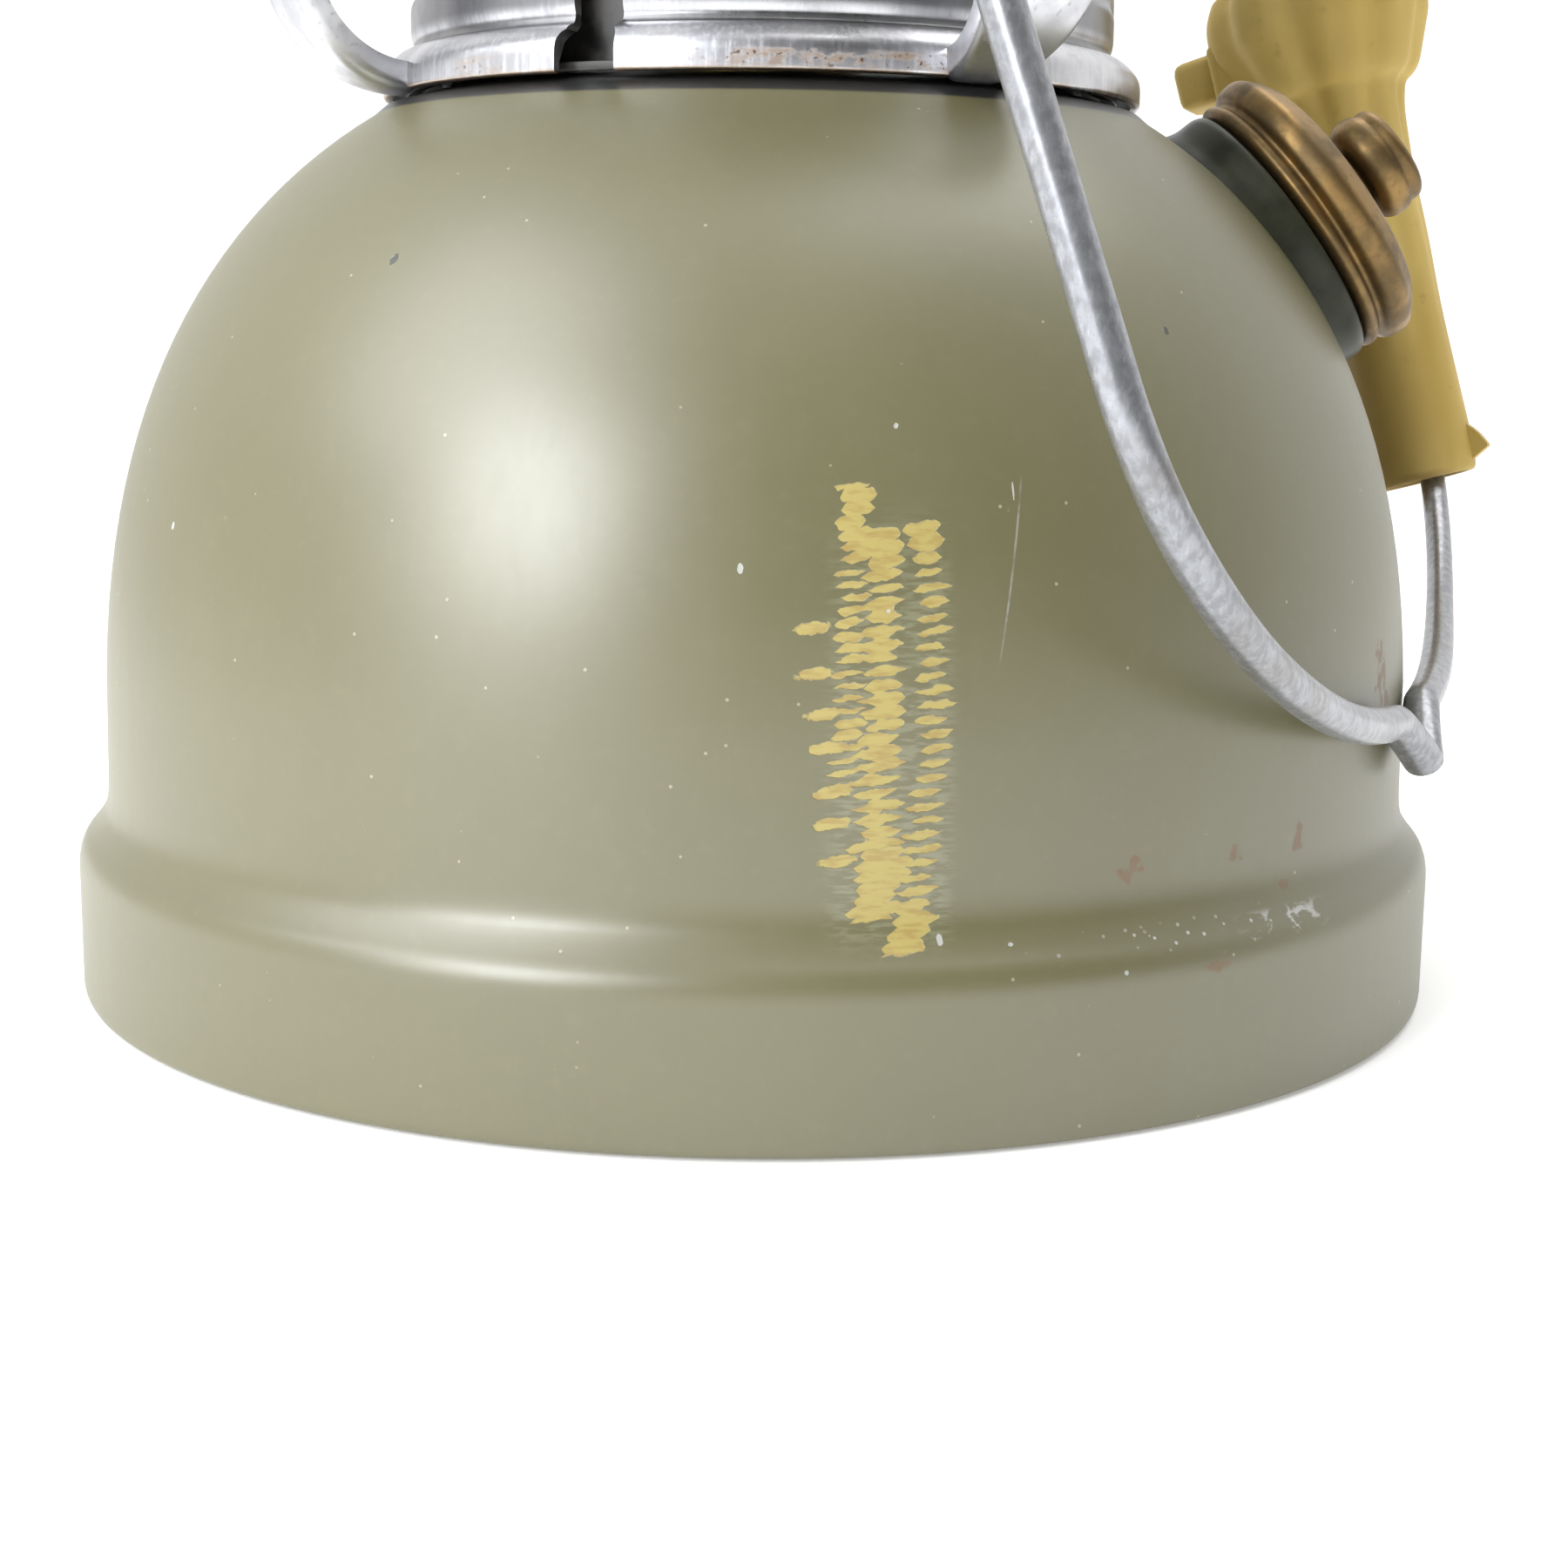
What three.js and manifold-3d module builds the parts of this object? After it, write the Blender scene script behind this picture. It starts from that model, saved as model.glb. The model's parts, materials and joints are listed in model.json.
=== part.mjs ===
// A kerosene pressure lantern, built piece by piece. Millimetres, +Z up.
// The origin is the middle of the tank's flat bottom; +X points at the filler cap and -Y at the front.

import * as THREE from 'three';
import { mergeVertices } from 'three/addons/utils/BufferGeometryUtils.js';
import Module from 'manifold-3d';

const wasm = await Module();
wasm.setup();

// ---------------------------------------------------------------- driving dimensions (mm, degrees)

const GAP = 0.3;                     // clearance that pieces in contact keep
const SHEET = 1.1;                   // thickness of the pressed sheet pieces

const SKIRT_RADIUS = 82.6;           // tank skirt, the widest part of the base
const SKIRT_TOP = 15.7;              // height where the skirt starts to turn in
const WALL_RADIUS = 78.9;            // tank wall just above the skirt
const DOME_START = 28;               // height where the wall starts to lean in
const DOME_HEIGHT = 84.5;            // height of the dome's full superellipse
const DOME_POWER = 2.42;             // exponent of the dome's superellipse
const CROWN_RADIUS = 45;             // the dome flattens inside this radius
const TANK_TOP = 107.4;              // flat crown under the collar
const TOP_HOLE_RADIUS = 12;

const COLLAR_RADIUS = 45.07;         // lower tier of the gallery collar
const COLLAR_BOTTOM = 103.6;
const COLLAR_EDGE_TOP = 105.7;
const COLLAR_STEP = 109;             // height where the upper tier starts
const TIER_RADIUS = 41.5;            // upper tier of the gallery collar
const TIER_TOP = 129;
const SEAT_LEDGE = 124;              // ledge that carries the globe
const SLOT_WIDTH = 7;
const SLOT_UPPER_WIDTH = 5.6;
const SLOT_TOP = 121;

const CAGE_RADIUS = 58.5;            // middle of the guard straps' upright run
const STRAP_WIDTH = 12;
const STRAP_THICKNESS = 1.8;
const STRAP_FOOT = 104.8;
const STRAP_BEND_TOP = 125;
const STRAP_TOP = 246;
const STRAP_BEARINGS = [44, 109.5, 203.5, 300];   // two behind, on each side of the control, two in front
const RING_TOP = 247.2;              // top ring of the cage

const BAIL_TURN = 66;                // bearing of the bail's rear pivot; the front one is opposite
const PIVOT_HEIGHT = 264;
const BAIL_HALF_WIDTH = 78;
const BAIL_WIRE_RADIUS = 2;
const BAIL_ARM = 202.5;              // straight part of each arm
const BAIL_END = 39.1;               // depth of the rounded end
const BAIL_POWER = 1.95;             // exponent of the rounded end
const BAIL_TILT = 19.48;             // how far the hanging bail leans out from straight down
const NOTCH_DEPTH = 5.6;
const NOTCH_HALF_WIDTH = 9;
const HOOK_LENGTH = 7.5;             // wire end that passes through the ear
const HOOK_BEND = 3.2;
const REAR_BOW = -1.8;               // how far the rear arm is bent out of the bail's plane

const EAR_WIDTH = 16;
const EAR_PLATE_RADIUS = 73.2;       // outer face of the ear's upright plate
const EAR_HOLE_RADIUS = 2.35;

const GRIP_LENGTH = 72.5;
const GRIP_BOTTOM_HEIGHT = 59.5;     // height of the sleeve's lower end
const GRIP_BOTTOM_WIDTH = 75.2;      // distance of its axis from the lamp's middle plane, lower end
const GRIP_BOTTOM_LEAN = -3.5;       // offset of its axis from the bail's plane, lower end
const GRIP_TOP_LEAN = 0.2;

const FILLER_RADIUS = 61.2;          // where the filler axis meets the dome
const FILLER_HEIGHT = 88.7;
const FILLER_ELEVATION = 37;
const FILLER_HOLE_RADIUS = 13.9;

const PUMP_BEARING = 88;
const PUMP_RADIUS = 62;
const PUMP_HEIGHT = 88;
const PUMP_ELEVATION = 55;
const PUMP_BARREL_RADIUS = 9.5;
const PUMP_BARREL_LENGTH = 80;

const SPINDLE_HEIGHT = 115;
const SPINDLE_RADIUS = 2.2;
const KNOB_RADIUS = 12;
const KNOB_DISTANCE = 57;            // lamp axis to the knob's inner face

const VAPORISER_RADIUS = 5;
const BORE_RADIUS = 2.6;             // bore of the valve body and the vaporiser
const MANTLE_RADIUS = 17;

const HOOD_RIM_RADIUS = 66.5;
const HOOD_RIM = 254;
const DRUM_RADIUS = 45;
const DRUM_BOTTOM = 282;
const DRUM_TOP = 304;
const CAP_RADIUS = 50;
const HOOD_TOP = 332;
const LOUVRE_COUNT = 12;
const NUT_TOP = 346;

const FINE = 36;                     // facets round the large turned pieces
const MEDIUM = 24;
const SMALL = 12;

// ---------------------------------------------------------------- materials

const paint = (color, roughness, metalness = 0) =>
  new THREE.MeshStandardMaterial({ color, roughness, metalness });
const MATERIALS = {
  olive: paint(0x6d6b45, 0.45, 0.1),
  chrome: paint(0xc4c5c9, 0.25, 1),
  wire: paint(0x8f949a, 0.45, 1),
  brass: paint(0xb09050, 0.35, 1),
  agedBrass: paint(0x8a6c3a, 0.5, 1),
  steel: paint(0x9a9da1, 0.4, 1),
  black: paint(0x151515, 0.6),
  rubber: paint(0x1b1b1c, 0.8),
  yellow: paint(0xa28c3a, 0.6),
  glass: paint(0xdfe8e6, 0.05),
  ceramic: paint(0xe6e1d2, 0.8),
  bakelite: paint(0x2a1d16, 0.4),
  leather: paint(0x6b4a2c, 0.8),
};

// ---------------------------------------------------------------- geometry helpers

// Merges shared corners, drops triangles without area and turns the faces outwards.
function clean(geometry) {
  const bare = new THREE.BufferGeometry();
  bare.setAttribute('position', geometry.getAttribute('position'));
  bare.setIndex(geometry.getIndex());
  const merged = mergeVertices(bare, 1e-4);
  const position = merged.getAttribute('position');
  const source = merged.getIndex().array;
  const corners = [new THREE.Vector3(), new THREE.Vector3(), new THREE.Vector3()];
  let triangles = [];
  let volume = 0;
  for (let i = 0; i < source.length; i += 3) {
    const [a, b, c] = [source[i], source[i + 1], source[i + 2]];
    if (a === b || b === c || c === a) continue;
    triangles.push([a, b, c]);
    corners.forEach((corner, k) => corner.fromBufferAttribute(position, [a, b, c][k]));
    volume += corners[0].dot(corners[1].clone().cross(corners[2]));
  }
  if (volume < 0) triangles = triangles.map(([a, b, c]) => [a, c, b]);
  merged.setIndex(triangles.flat());
  return merged;
}

// Turns a profile of [radius, height] points round the Z axis; a profile off the axis closes on itself.
function turned(profile, facets = SMALL) {
  const onAxis = profile[0][0] === 0 && profile[profile.length - 1][0] === 0;
  const points = onAxis ? profile : [...profile, profile[0]];
  const geometry = new THREE.LatheGeometry(points.map(([r, z]) => new THREE.Vector2(r, z)), facets);
  geometry.rotateX(Math.PI / 2);
  return clean(geometry);
}

// A plate: an outline of [x, y] points, pushed from z = low to z = high.
function plate(outline, low, high, holes = []) {
  const shape = new THREE.Shape(outline.map(([x, y]) => new THREE.Vector2(x, y)));
  for (const [x, y, r] of holes) {
    shape.holes.push(new THREE.Path().absarc(x, y, r, 0, 2 * Math.PI, true));
  }
  const settings = { depth: high - low, bevelEnabled: false, curveSegments: 12 };
  const geometry = new THREE.ExtrudeGeometry(shape, settings);
  geometry.translate(0, 0, low);
  return clean(geometry);
}

const rod = (radius, low, high, facets = SMALL) =>
  turned([[0, low], [radius, low], [radius, high], [0, high]], facets);
const tube = (inner, outer, low, high, facets = SMALL) =>
  turned([[inner, low], [outer, low], [outer, high], [inner, high]], facets);
const block = (width, depth, height) => clean(new THREE.BoxGeometry(width, depth, height));
const moved = (geometry, matrix) => geometry.clone().applyMatrix4(matrix);
const shifted = (geometry, x, y, z) => moved(geometry, new THREE.Matrix4().makeTranslation(x, y, z));

function toManifold(geometry) {
  return new wasm.Manifold(new wasm.Mesh({
    numProp: 3,
    vertProperties: new Float32Array(geometry.getAttribute('position').array),
    triVerts: new Uint32Array(geometry.getIndex().array),
  }));
}

function fromManifold(manifold) {
  const result = manifold.getMesh();
  const geometry = new THREE.BufferGeometry();
  geometry.setAttribute('position', new THREE.BufferAttribute(result.vertProperties, 3));
  geometry.setIndex(new THREE.BufferAttribute(result.triVerts, 1));
  return clean(geometry);
}

const cut = (geometry, ...tools) =>
  fromManifold(tools.reduce((solid, tool) => solid.subtract(toManifold(tool)), toManifold(geometry)));
const join = (geometry, ...others) =>
  fromManifold(others.reduce((solid, other) => solid.add(toManifold(other)), toManifold(geometry)));

const radians = THREE.MathUtils.degToRad;
const UP = new THREE.Vector3(0, 0, 1);

// Placement whose local +Z points along a bearing and elevation, from a point at a radius and height.
function axisFrame(bearing, elevation, radius, height) {
  const b = radians(bearing);
  const e = radians(elevation);
  const direction = new THREE.Vector3(Math.cos(e) * Math.cos(b), Math.cos(e) * Math.sin(b), Math.sin(e));
  const turn = new THREE.Quaternion().setFromUnitVectors(UP, direction);
  const place = new THREE.Vector3(radius * Math.cos(b), radius * Math.sin(b), height);
  return new THREE.Matrix4().compose(place, turn, new THREE.Vector3(1, 1, 1));
}

const bearingTurn = (degrees) => new THREE.Matrix4().makeRotationZ(radians(degrees));

const lantern = new THREE.Group();

function add(name, geometry, material, matrix = new THREE.Matrix4()) {
  const mesh = new THREE.Mesh(geometry, MATERIALS[material]);
  mesh.name = name;
  mesh.geometry.computeVertexNormals();
  mesh.applyMatrix4(matrix);
  lantern.add(mesh);
}

const FILLER = axisFrame(0, FILLER_ELEVATION, FILLER_RADIUS, FILLER_HEIGHT);
const PUMP = axisFrame(PUMP_BEARING, PUMP_ELEVATION, PUMP_RADIUS, PUMP_HEIGHT);
const SPINDLE = axisFrame(BAIL_TURN, 0, 0, SPINDLE_HEIGHT);

// ---------------------------------------------------------------- tank

// Height of the dome at a radius, on the superellipse.
const domeHeight = (radius) =>
  DOME_START + DOME_HEIGHT * (1 - (radius / WALL_RADIUS) ** DOME_POWER) ** (1 / DOME_POWER);

// Outer outline of the tank from its bottom edge to its crown, grown by a margin.
function tankOutline(margin) {
  const points = [
    [SKIRT_RADIUS - 1.5, 0], [SKIRT_RADIUS - 0.4, 0.5], [SKIRT_RADIUS, 1.6],
    [SKIRT_RADIUS, SKIRT_TOP], [SKIRT_RADIUS - 0.5, 17.8], [SKIRT_RADIUS - 2.1, 20.4],
    [WALL_RADIUS + 0.1, 22.4], [WALL_RADIUS, DOME_START],
  ];
  for (const radius of [78.2, 77, 75.2, 72.5, 69, 64.5, 59, 52.5]) points.push([radius, domeHeight(radius)]);
  points.push([CROWN_RADIUS, 103.1], [38, 105.1], [29, 106.8], [20, TANK_TOP]);
  return points.map(([r, z]) => [r + margin, z + (z > DOME_START ? margin : 0)]);
}

const SHELL_INSIDE = [
  [TOP_HOLE_RADIUS, TANK_TOP - SHEET], [29, 105.6], [44, 102], [57.2, domeHeight(59) - 1.4],
  [67.7, domeHeight(69) - 1.1], [76.6, domeHeight(78.2)],
  [WALL_RADIUS - SHEET, 22.2], [SKIRT_RADIUS - SHEET, SKIRT_TOP], [SKIRT_RADIUS - SHEET, 1.4],
];
const fillerHole = moved(rod(FILLER_HOLE_RADIUS, -14, 14, MEDIUM), FILLER);
const pumpHole = moved(rod(PUMP_BARREL_RADIUS + 0.4, -20, 14, MEDIUM), PUMP);
const tankShell = turned([...tankOutline(0), [TOP_HOLE_RADIUS, TANK_TOP], ...SHELL_INSIDE], FINE);
add('tank_shell', cut(tankShell, fillerHole, pumpHole), 'olive');

const panRadius = SKIRT_RADIUS - SHEET - 0.4;
add('base_pan', turned([
  [0, 0], [panRadius - 2.6, 0], [panRadius - 0.5, 1.3], [panRadius, 2.8], [panRadius, 12],
  [panRadius - SHEET, 12], [panRadius - SHEET, 3.2], [panRadius - 3, SHEET], [0, SHEET],
], FINE), 'olive');

// Solid of the tank's outside, a gap larger, that trims what stands on the dome.
const tankEnvelope = turned([[0, 0], ...tankOutline(GAP), [0, TANK_TOP + GAP]], FINE);

// ---------------------------------------------------------------- filler neck, cap and release screw

const NECK_OUTER = 13.5;
const NECK_INNER = 11.5;
const NECK_TOP = 6.9;
const CAP_CEILING = 8.9;
const CAP_CROWN = 11.4;

add('filler_neck', tube(NECK_INNER, NECK_OUTER, -9, NECK_TOP, MEDIUM), 'brass', FILLER);
const collarRing = moved(tube(FILLER_HOLE_RADIUS, 17.2, -9, 1.4, MEDIUM), FILLER);
add('filler_collar', cut(collarRing, tankEnvelope), 'black');
const gasket = tube(NECK_INNER, NECK_OUTER - 0.1, NECK_TOP + GAP, CAP_CEILING - GAP, MEDIUM);
add('cap_gasket', gasket, 'rubber', FILLER);
add('filler_cap', turned([
  [14, 1.8], [16.6, 1.8], [17.4, 2.5], [17.6, 3.4], [17.3, 4.6], [16.4, 5.4], [16.6, 6.2],
  [17.8, 6.9], [18.3, 8.2], [18.1, 9.4], [17, 10.5], [10, 11.2], [5, CAP_CROWN], [2.6, CAP_CROWN],
  [2.6, CAP_CEILING], [14, CAP_CEILING],
], MEDIUM), 'agedBrass', FILLER);
const WASHER_TOP = CAP_CROWN + GAP + 0.8;
const SCREW_SEAT = WASHER_TOP + GAP;
add('vent_washer', tube(2.6, 4.2, CAP_CROWN + GAP, WASHER_TOP), 'rubber', FILLER);
add('release_stem', rod(2.2, 5.5, SCREW_SEAT - GAP), 'agedBrass', FILLER);
add('release_screw', turned([
  [0, SCREW_SEAT], [3.4, SCREW_SEAT], [3.6, 13.6], [5.6, 13.8], [6.5, 14.8], [6.5, 17], [6.1, 17.6],
  [6.1, 18.8], [5.4, 19.4], [0, 19.4],
]), 'agedBrass', FILLER);

// ---------------------------------------------------------------- pump

const PUMP_CAP_LOW = 3.4;
const PUMP_CAP_HIGH = 10;
const PUMP_ROD_RADIUS = 2.5;
const PISTON_LOW = -73;
const PISTON_HIGH = -67;

const flangeRing = moved(tube(PUMP_BARREL_RADIUS + 0.4, 12.8, -8, 2.6, MEDIUM), PUMP);
add('pump_flange', cut(flangeRing, tankEnvelope), 'olive');
const barrel = tube(PUMP_BARREL_RADIUS - 0.9, PUMP_BARREL_RADIUS, -PUMP_BARREL_LENGTH, 3, 20);
add('pump_barrel', barrel, 'brass', PUMP);
add('pump_cap', turned([
  [PUMP_ROD_RADIUS + 0.3, PUMP_CAP_LOW + 2], [8.4, PUMP_CAP_LOW + 2], [8.4, PUMP_CAP_LOW],
  [12, PUMP_CAP_LOW], [12, PUMP_CAP_HIGH - 1], [11, PUMP_CAP_HIGH], [PUMP_ROD_RADIUS + 0.3, PUMP_CAP_HIGH],
], 20), 'brass', PUMP);
add('pump_check_valve', turned([
  [0, -PUMP_BARREL_LENGTH - 8], [3, -PUMP_BARREL_LENGTH - 8], [5.5, -PUMP_BARREL_LENGTH - 5],
  [5.5, -PUMP_BARREL_LENGTH - GAP], [0, -PUMP_BARREL_LENGTH - GAP],
]), 'brass', PUMP);
add('pump_rod', rod(PUMP_ROD_RADIUS, PISTON_LOW - 2, 14, 12), 'steel', PUMP);
add('pump_leather', turned([
  [PUMP_ROD_RADIUS + GAP, PISTON_LOW], [8, PISTON_LOW], [8.3, PISTON_LOW + 1], [8.3, PISTON_HIGH],
  [7.1, PISTON_HIGH], [6.9, PISTON_LOW + 2], [PUMP_ROD_RADIUS + GAP, PISTON_LOW + 2],
], 20), 'leather', PUMP);
add('pump_knob', turned([
  [0, 14.3], [6, 14.3], [7, 16.5], [10, 18.5], [10.6, 21], [10, 24], [8, 25.6], [0, 26.2],
], 20), 'bakelite', PUMP);

// ---------------------------------------------------------------- valve, control and needle

const BOSS_FLANGE = TANK_TOP + GAP;
add('top_boss', turned([
  [9.4, 100.5], [11.6, 100.5], [11.6, BOSS_FLANGE], [16.5, BOSS_FLANGE], [16.5, BOSS_FLANGE + 2],
  [9.4, BOSS_FLANGE + 2],
], MEDIUM), 'brass');

const HEX_BOTTOM = BOSS_FLANGE + 2 + GAP;
const HEX_TOP = 120;
const VALVE_NECK_TOP = 123;
const valveCore = turned([
  [BORE_RADIUS, 99], [9, 99], [9, HEX_BOTTOM], [12.4, HEX_BOTTOM], [12.4, HEX_TOP], [6, HEX_TOP],
  [6, VALVE_NECK_TOP], [BORE_RADIUS, VALVE_NECK_TOP],
], 12);
const sideBoss = moved(rod(4.9, 4, 17, 12), SPINDLE);
const spindleBore = moved(rod(SPINDLE_RADIUS + GAP, 2, 18, 12), SPINDLE);
const needleBore = rod(BORE_RADIUS, 98, 124, 12);
add('valve_body', cut(join(valveCore, sideBoss), spindleBore, needleBore), 'brass');
add('gland_nut', cut(rod(6.4, 17.3, 23, 6), rod(SPINDLE_RADIUS + GAP, 16, 24, 12)), 'brass', SPINDLE);
add('control_spindle', rod(SPINDLE_RADIUS, 3.4, KNOB_DISTANCE + 6, 12), 'steel', SPINDLE);

const knobHole = rod(SPINDLE_RADIUS + GAP, KNOB_DISTANCE - 1, KNOB_DISTANCE + 6.4, 12);
const knobDisc = turned([
  [0, KNOB_DISTANCE], [5, KNOB_DISTANCE], [6, KNOB_DISTANCE + 2], [KNOB_RADIUS - 1, KNOB_DISTANCE + 2],
  [KNOB_RADIUS, KNOB_DISTANCE + 3.2], [KNOB_RADIUS, KNOB_DISTANCE + 7],
  [KNOB_RADIUS - 1, KNOB_DISTANCE + 8.2],
  [0, KNOB_DISTANCE + 8.8],
], MEDIUM);
add('control_knob', cut(knobDisc, knobHole), 'bakelite', SPINDLE);
add('pricker_rod', rod(0.8, 106, 247, 8), 'steel');

const PICKUP_BOTTOM = 5.6;
add('pickup_tube', tube(BORE_RADIUS, 4, PICKUP_BOTTOM, 98.6), 'brass');
add('pickup_strainer', turned([
  [0, 3.6], [6.5, 3.6], [6.5, 15], [4.4, 15], [4.4, 5], [0, 5],
]), 'brass');

// ---------------------------------------------------------------- burner

const VAPORISER_BOTTOM = VALVE_NECK_TOP + GAP;
const VAPORISER_TOP = 243;
const NOZZLE_BOTTOM = 220;

add('preheat_cup', turned([
  [6.5, 123.8], [16.6, 123.8], [17.6, 132], [16.4, 132], [15.6, 125], [7.6, 125], [7.6, 130], [6.5, 130],
], MEDIUM), 'brass');
add('vaporiser_tube', tube(BORE_RADIUS, VAPORISER_RADIUS, VAPORISER_BOTTOM, VAPORISER_TOP), 'brass');
add('jet_nipple', turned([
  [1.6, VAPORISER_TOP + GAP], [4.4, VAPORISER_TOP + GAP], [4.4, 247], [2.6, 249.5], [1.6, 249.5],
], 12), 'brass');
add('mantle_support', tube(VAPORISER_RADIUS + 0.4, 7, 158, 165), 'ceramic');
add('mantle', turned([
  [7.4, 160], [8.2, 160], [9.2, 166], [15.4, 180], [MANTLE_RADIUS, 196], [14.2, 213], [10.2, 221],
  [10.2, 226], [9.4, 226], [9.4, 220.5], [13.4, 212.6], [MANTLE_RADIUS - 0.8, 196], [14.6, 180.4],
  [8.4, 166.4],
]), 'ceramic');
add('burner_head', turned([
  [8, NOZZLE_BOTTOM], [9, NOZZLE_BOTTOM], [9, 228], [17, 232], [17, 256], [12, 262], [5, 262.4], [5, 265.6],
  [0, 265.6], [0, 260.6], [11.4, 260.6], [15.8, 255.4], [15.8, 233], [8, 229.4],
]), 'steel');

const BRIDGE_LOW = 265.9;
const BRIDGE_HIGH = 267.6;
const BRIDGE_LENGTH = 67.4;
const bridge = block(BRIDGE_LENGTH, 13, BRIDGE_HIGH - BRIDGE_LOW);
add('burner_bridge', shifted(bridge, 0, 0, (BRIDGE_LOW + BRIDGE_HIGH) / 2), 'steel');

// ---------------------------------------------------------------- collar, globe and cage

const slotLower = shifted(block(16, SLOT_WIDTH, 7.2), COLLAR_RADIUS, 0, COLLAR_BOTTOM + 2.6);
const slotUpper = shifted(block(16, SLOT_UPPER_WIDTH, SLOT_TOP - COLLAR_BOTTOM), COLLAR_RADIUS - 2, 0,
  (SLOT_TOP + COLLAR_BOTTOM) / 2);
const slots = [BAIL_TURN, BAIL_TURN + 180].flatMap((bearing) =>
  [slotLower, slotUpper].map((slot) => moved(slot, bearingTurn(bearing))));
const collarSheet = turned([
  [COLLAR_RADIUS, COLLAR_BOTTOM], [COLLAR_RADIUS, COLLAR_EDGE_TOP], [44.5, 107.4], [42.9, 108.6],
  [TIER_RADIUS, COLLAR_STEP + 0.3], [TIER_RADIUS, TIER_TOP], [TIER_RADIUS - 1, TIER_TOP],
  [TIER_RADIUS - 1, SEAT_LEDGE + 1], [36, SEAT_LEDGE + 1], [36, SEAT_LEDGE], [TIER_RADIUS - 1, SEAT_LEDGE],
  [TIER_RADIUS - 1, COLLAR_STEP], [43.4, 106.8], [COLLAR_RADIUS - 1, 105],
  [COLLAR_RADIUS - 1, COLLAR_BOTTOM],
], FINE);
add('gallery_ring', cut(collarSheet, ...slots), 'chrome');

const shieldTube = turned([
  [38.2, 106], [38.2, 123.3], [24, 123.3], [24, 122.3], [37.2, 122.3], [37.2, 106],
], MEDIUM);
const spindleNotch = moved(shifted(block(12, 8, 14), 38, 0, 110.5), bearingTurn(BAIL_TURN));
add('heat_shield', cut(shieldTube, spindleNotch), 'black');

add('globe_seat', tube(36.6, 40.1, SEAT_LEDGE + 1 + GAP, SEAT_LEDGE + 2.4, FINE), 'black');
const GLOBE_BOTTOM = SEAT_LEDGE + 2.7;
const GLOBE_TOP = 240;
const GLASS = 2.2;
const globeOutline = [
  [39.6, GLOBE_BOTTOM], [39.6, 136], [42.2, 146], [45.8, 158], [47.4, 172], [47.4, 190], [46, 206],
  [42.4, 220], [39.6, 230], [39.6, GLOBE_TOP],
];
add('globe', turned([
  ...globeOutline, ...globeOutline.slice().reverse().map(([r, z]) => [r - GLASS, z]),
], MEDIUM), 'glass');

// Side view of one strap: from the collar out and up in a quarter ellipse, then straight up.
function strapOutline() {
  const foot = COLLAR_RADIUS + 0.5;
  const reach = CAGE_RADIUS - foot;
  const rise = STRAP_BEND_TOP - STRAP_FOOT;
  const half = STRAP_THICKNESS / 2;
  const outer = [];
  const inner = [];
  for (let step = 0; step <= 8; step++) {
    const a = (step / 8) * Math.PI / 2;
    const [x, z] = [foot + reach * Math.sin(a), STRAP_FOOT + rise * (1 - Math.cos(a))];
    const slope = new THREE.Vector2(reach * Math.cos(a), rise * Math.sin(a)).normalize();
    outer.push([x + half * slope.y, z - half * slope.x]);
    inner.push([x - half * slope.y, z + half * slope.x]);
  }
  outer.push([CAGE_RADIUS + half, STRAP_TOP]);
  inner.push([CAGE_RADIUS - half, STRAP_TOP]);
  return [...outer, ...inner.reverse()];
}

// Plate in the X-Z plane, centred on Y, turned to a bearing.
function uprightPlate(outline, width, bearing, holes = []) {
  const geometry = plate(outline, -width / 2, width / 2, holes);
  geometry.rotateX(Math.PI / 2);
  return moved(geometry, bearingTurn(bearing));
}

STRAP_BEARINGS.forEach((bearing, i) => {
  add(`guard_strap_${i + 1}`, uprightPlate(strapOutline(), STRAP_WIDTH, bearing), 'chrome');
});

const BAND_RADIUS = CAGE_RADIUS - STRAP_THICKNESS / 2 - GAP;
add('top_ring', turned([
  [34, 246], [40.4, 246], [40.4, 236.5], [41.4, 236.5], [41.4, 246], [BAND_RADIUS - SHEET, 246],
  [BAND_RADIUS - SHEET, 237], [BAND_RADIUS, 237], [BAND_RADIUS, RING_TOP], [34, RING_TOP],
], FINE), 'chrome');

const EAR_TAB = 249.8;
const EAR_TOP = 272;
const earOutline = [
  [BAND_RADIUS + GAP, 238], [BAND_RADIUS + GAP + 1.8, 238], [BAND_RADIUS + GAP + 1.8, EAR_TAB - 1.8],
  [EAR_PLATE_RADIUS, EAR_TAB - 1.8], [EAR_PLATE_RADIUS, EAR_TOP], [EAR_PLATE_RADIUS - 1.8, EAR_TOP],
  [EAR_PLATE_RADIUS - 1.8, EAR_TAB], [BAND_RADIUS + GAP, EAR_TAB],
];
const pinHole = moved(rod(EAR_HOLE_RADIUS, 60, 90, 12), axisFrame(0, 0, 0, PIVOT_HEIGHT));
for (const [name, bearing] of [['ear_front', BAIL_TURN + 180], ['ear_rear', BAIL_TURN]]) {
  const ear = cut(uprightPlate(earOutline, EAR_WIDTH, 0), pinHole);
  add(name, moved(ear, bearingTurn(bearing)), 'chrome');
}

// ---------------------------------------------------------------- hood

add('inner_casing', turned([
  [35, RING_TOP + GAP], [41, RING_TOP + GAP], [41, 248.6], [36, 248.6], [36, 281], [35, 281],
], MEDIUM), 'steel');

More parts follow.
